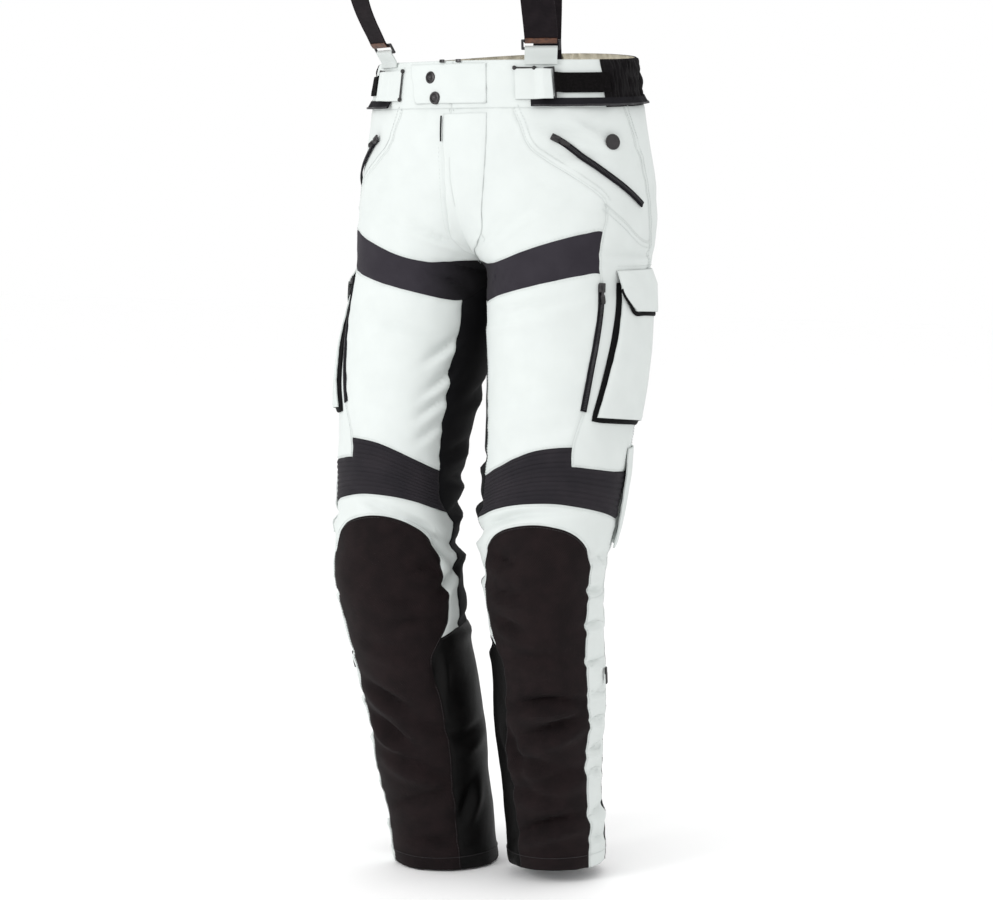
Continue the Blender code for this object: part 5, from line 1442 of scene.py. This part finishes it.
def make_grey_stretch():
    """Stretch knit of the thigh bands: dark grey, with painted shade between the legs that turns it
    black where it nears the crotch.
    """
    tree, shader, place, _ = cloth_material("grey_stretch", "#322F35", "#2D2A30", 1.2, 0.00010, 0.88,
                                            0.04)
    # Painted shade between the legs: black at the middle line, fading to the knit's grey by 70 mm out.
    side = add_node(tree, "ShaderNodeSeparateXYZ", {"Vector": place})
    wide = add_node(tree, "ShaderNodeMath", {0: side.outputs["X"]}, operation="ABSOLUTE")
    share = add_node(tree, "ShaderNodeMapRange", {"Value": wide.outputs["Value"], "From Min": 0.004,
                                                  "From Max": 0.070}, interpolation_type="SMOOTHSTEP")
    mixed = add_node(tree, "ShaderNodeMix", {"Factor": share.outputs["Result"], 6: linear("#161517"),
                                             7: shader.inputs["Base Color"].links[0].from_socket},
                     data_type="RGBA")
    tree.links.new(mixed.outputs[2], shader.inputs["Base Color"])


def make_calf_leather():
    """Goatskin inside the calf: smooth black with a fine grain and a satin gloss."""
    tree, shader, place, _ = start_material("calf_leather", Roughness=0.50, Specular_IOR_Level=0.10)
    tree.links.new(mottled(tree, place, "#0A0909", "#060606", 18.0), shader.inputs["Base Color"])
    cells = add_node(tree, "ShaderNodeTexVoronoi", {"Vector": place, "Scale": grain(1.6)},
                     feature="DISTANCE_TO_EDGE")
    bump(tree, shader, cells.outputs["Distance"], 0.0004)


def make_elastic(name, colour, other, way):
    """Elastic webbing: black and dull, ribbed across its stretch."""
    tree, shader, place, surface = start_material(name, Roughness=0.85, Sheen_Weight=0.02,
                                                  Specular_IOR_Level=0.08)
    tree.links.new(mottled(tree, place, colour, other, 12.0), shader.inputs["Base Color"])
    rib = add_node(tree, "ShaderNodeTexWave", {"Vector": surface, "Scale": bands(1.8)},
                   bands_direction=way)
    bump(tree, shader, rib.outputs["Fac"], 0.0004)


def make_grained(name, colour, other, drift, size, height, **sockets):
    """A plain finish with a fine grain: its colour drifts between two."""
    tree, shader, place, _ = start_material(name, **sockets)
    tree.links.new(mottled(tree, place, colour, other, drift), shader.inputs["Base Color"])
    noisy = add_node(tree, "ShaderNodeTexNoise", {"Vector": place, "Scale": grain(size)})
    bump(tree, shader, noisy.outputs["Fac"], height)


def make_threads():
    """Threads: twisted polyester with a slight gloss."""
    for name, colour, other in (("pale_thread", "#CCD1CF", "#C4C9C7"),
                                ("dark_thread", "#2B282A", "#1B191B")):
        tree, shader, place, _ = start_material(name, Roughness=0.55)
        tree.links.new(mottled(tree, place, colour, other, 3.0), shader.inputs["Base Color"])


def make_mesh_lining():
    """Pale mesh inside the body: rows of round holes."""
    tree, shader, _, surface = start_material("mesh_lining", Roughness=0.9, Sheen_Weight=0.2)
    cells = add_node(tree, "ShaderNodeTexVoronoi", {"Vector": surface, "Scale": grain(3.0),
                                                    "Randomness": 0.0})
    dots = add_node(tree, "ShaderNodeMapRange", {"Value": cells.outputs["Distance"],
                                                 "From Min": 0.25, "From Max": 0.40})
    mixed = add_node(tree, "ShaderNodeMix", {"Factor": dots.outputs["Result"], 6: linear("#7D8083"),
                                             7: linear("#B4B8BA")}, data_type="RGBA")
    tree.links.new(mixed.outputs[2], shader.inputs["Base Color"])
    bump(tree, shader, dots.outputs["Result"], 0.0003)


def make_materials():
    """Every material of the trousers."""
    make_cloths()
    make_grey_stretch()
    make_calf_leather()
    make_elastic("gathered_elastic", "#110F10", "#171517", "X")
    make_elastic("brace_elastic", "#1E191C", "#171316", "Y")
    # Hook-and-loop tape: black pile, rough and dull.
    make_grained("hook_tape", "#141213", "#0C0B0B", 2.5, 1.2, 0.0008, Roughness=0.95,
                 Specular_IOR_Level=0.05)
    # Nylon coil of the zips: dark grey with a low gloss.
    make_grained("zip_coil", "#2E2D31", "#1C1B1E", 6.0, 0.9, 0.00005, Roughness=0.42)
    # Painted zinc of sliders, tabs and snaps: a worn, dark shine.
    make_grained("gunmetal", "#4A4849", "#343334", 6.0, 0.9, 0.00004, Roughness=0.36, Metallic=0.85)
    # Moulded rubber and moulded nylon: black and half dull.
    make_grained("moulded_rubber", "#1D1B1C", "#262324", 6.0, 0.9, 0.00006, Roughness=0.58)
    make_grained("moulded_plastic", "#18171A", "#222023", 6.0, 0.9, 0.00006, Roughness=0.48)
    # Leather of the braces' folded ends: red-brown.
    make_grained("tan_leather", "#5C3621", "#3A2114", 5.0, 1.0, 0.0002, Roughness=0.55)
    make_threads()
    make_mesh_lining()


# Camera and light.
VIEW_TURN = 32.0
VIEW_RISE = 6.0
CAMERA_DISTANCE = 3.5
LENS = 96.8
PIXELS_A_METRE = 763.0
WAIST_PIXEL = (506.0, 87.0)
PICTURE = (993.0, 900.0)


def camera_axes():
    """The camera's right, ahead and up in the photograph's view."""
    turn, climb = math.radians(VIEW_TURN), math.radians(VIEW_RISE)
    right = Vector((math.cos(turn), math.sin(turn), 0.0))
    ahead = Vector((-math.sin(turn) * math.cos(climb), math.cos(turn) * math.cos(climb),
                    -math.sin(climb)))
    return right, ahead, right.cross(ahead)


def add_camera():
    """The photograph's view, with the waist's centre at its pixel."""
    right, ahead, up = camera_axes()
    shift = [(PICTURE[0] / 2 - WAIST_PIXEL[0]) / PIXELS_A_METRE,
             (WAIST_PIXEL[1] - PICTURE[1] / 2) / PIXELS_A_METRE]
    aim = right * shift[0] + up * shift[1]
    camera = bpy.data.objects.new("camera", bpy.data.cameras.new("camera"))
    camera.data.lens = LENS
    camera.data.sensor_width = 36.0
    camera.data.clip_end = 50.0
    camera.location = aim - ahead * CAMERA_DISTANCE
    camera.rotation_euler = ahead.to_track_quat("-Z", "Y").to_euler()
    bpy.context.scene.collection.objects.link(camera)
    bpy.context.scene.camera = camera


# Area lights: name, side, height and distance towards the camera from the hip, size, watts.
LIGHTS = [
    ("key", -2.2, 0.85, 1.8, 1.0, 29.0),
    ("fill", 2.0, 0.3, 1.8, 1.6, 3.5),
    ("top", 0.2, 2.4, 0.3, 1.4, 10.0),
]


WORLD_STRENGTH = 1.0


def add_lights():
    """Soft studio light: three area lamps and a white surround."""
    right, ahead, _ = camera_axes()
    hip = Vector((0.0, 0.0, -0.45))
    for name, side, height, nearer, size, watts in LIGHTS:
        light = bpy.data.lights.new(name, "AREA")
        light.size = size
        light.energy = watts
        lamp = bpy.data.objects.new(name, light)
        lamp.location = hip + right * side + Vector((0.0, 0.0, height)) - ahead * nearer
        lamp.rotation_euler = (hip - lamp.location).to_track_quat("-Z", "Y").to_euler()
        bpy.context.scene.collection.objects.link(lamp)
    world = bpy.data.worlds.new("studio")
    world.use_nodes = True
    world.node_tree.nodes["Background"].inputs["Color"].default_value = (1.0, 1.0, 1.0, 1.0)
    world.node_tree.nodes["Background"].inputs["Strength"].default_value = WORLD_STRENGTH
    bpy.context.scene.world = world
    bpy.context.scene.view_settings.view_transform = "Standard"


def add_floor():
    """Plain pale floor under the hems."""
    bm = bmesh.new()
    place = Matrix.Translation((0.0, 0.0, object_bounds()[0].z - 0.002))
    bmesh.ops.create_grid(bm, x_segments=1, y_segments=1, size=12.0, matrix=place)
    mesh = bpy.data.meshes.new("floor")
    bm.to_mesh(mesh)
    bm.free()
    shader = start_material("painted_floor", Roughness=0.9, Specular_IOR_Level=0.1)[1]
    shader.inputs["Base Color"].default_value = linear("#FFFFFF")
    mesh.materials.append(MATERIALS["painted_floor"])
    floor = bpy.data.objects.new("floor", mesh)
    bpy.context.scene.collection.objects.link(floor)


def main():
    """The whole pair, from the panels out to the sewing, and then the photograph's view."""
    make_materials()
    for leg in LEGS:
        for panel in PANELS:
            add_panel(leg, *panel)
    add_band()
    add_middle_overlay("closure_tab", CLOSURE_TAB, (14, 12), 16, 0.0016)
    add_middle_overlay("fly_placket", FLY_PLACKET, (12, 16), 44, 0.0005)
    for leg in LEGS:
        add_pocket(leg)
        add_overlay(leg, "back_knee_tab", ["white_cloth"], BACK_KNEE_TAB, 20, 30, knee_tab_height,
                    0.0018)
        for name, rise_up, pull_length, table in ZIPS:
            add_zip(leg, name, rise_up, pull_length, table)
        add_brace(leg)
    add_jacket_zip()
    add_adjusters()
    add_snaps()
    add_hip_dome()
    add_placket_shadow()
    add_band_hooks()
    add_calf_pullers()
    add_stitching()
    add_camera()
    add_lights()
    add_floor()


main()
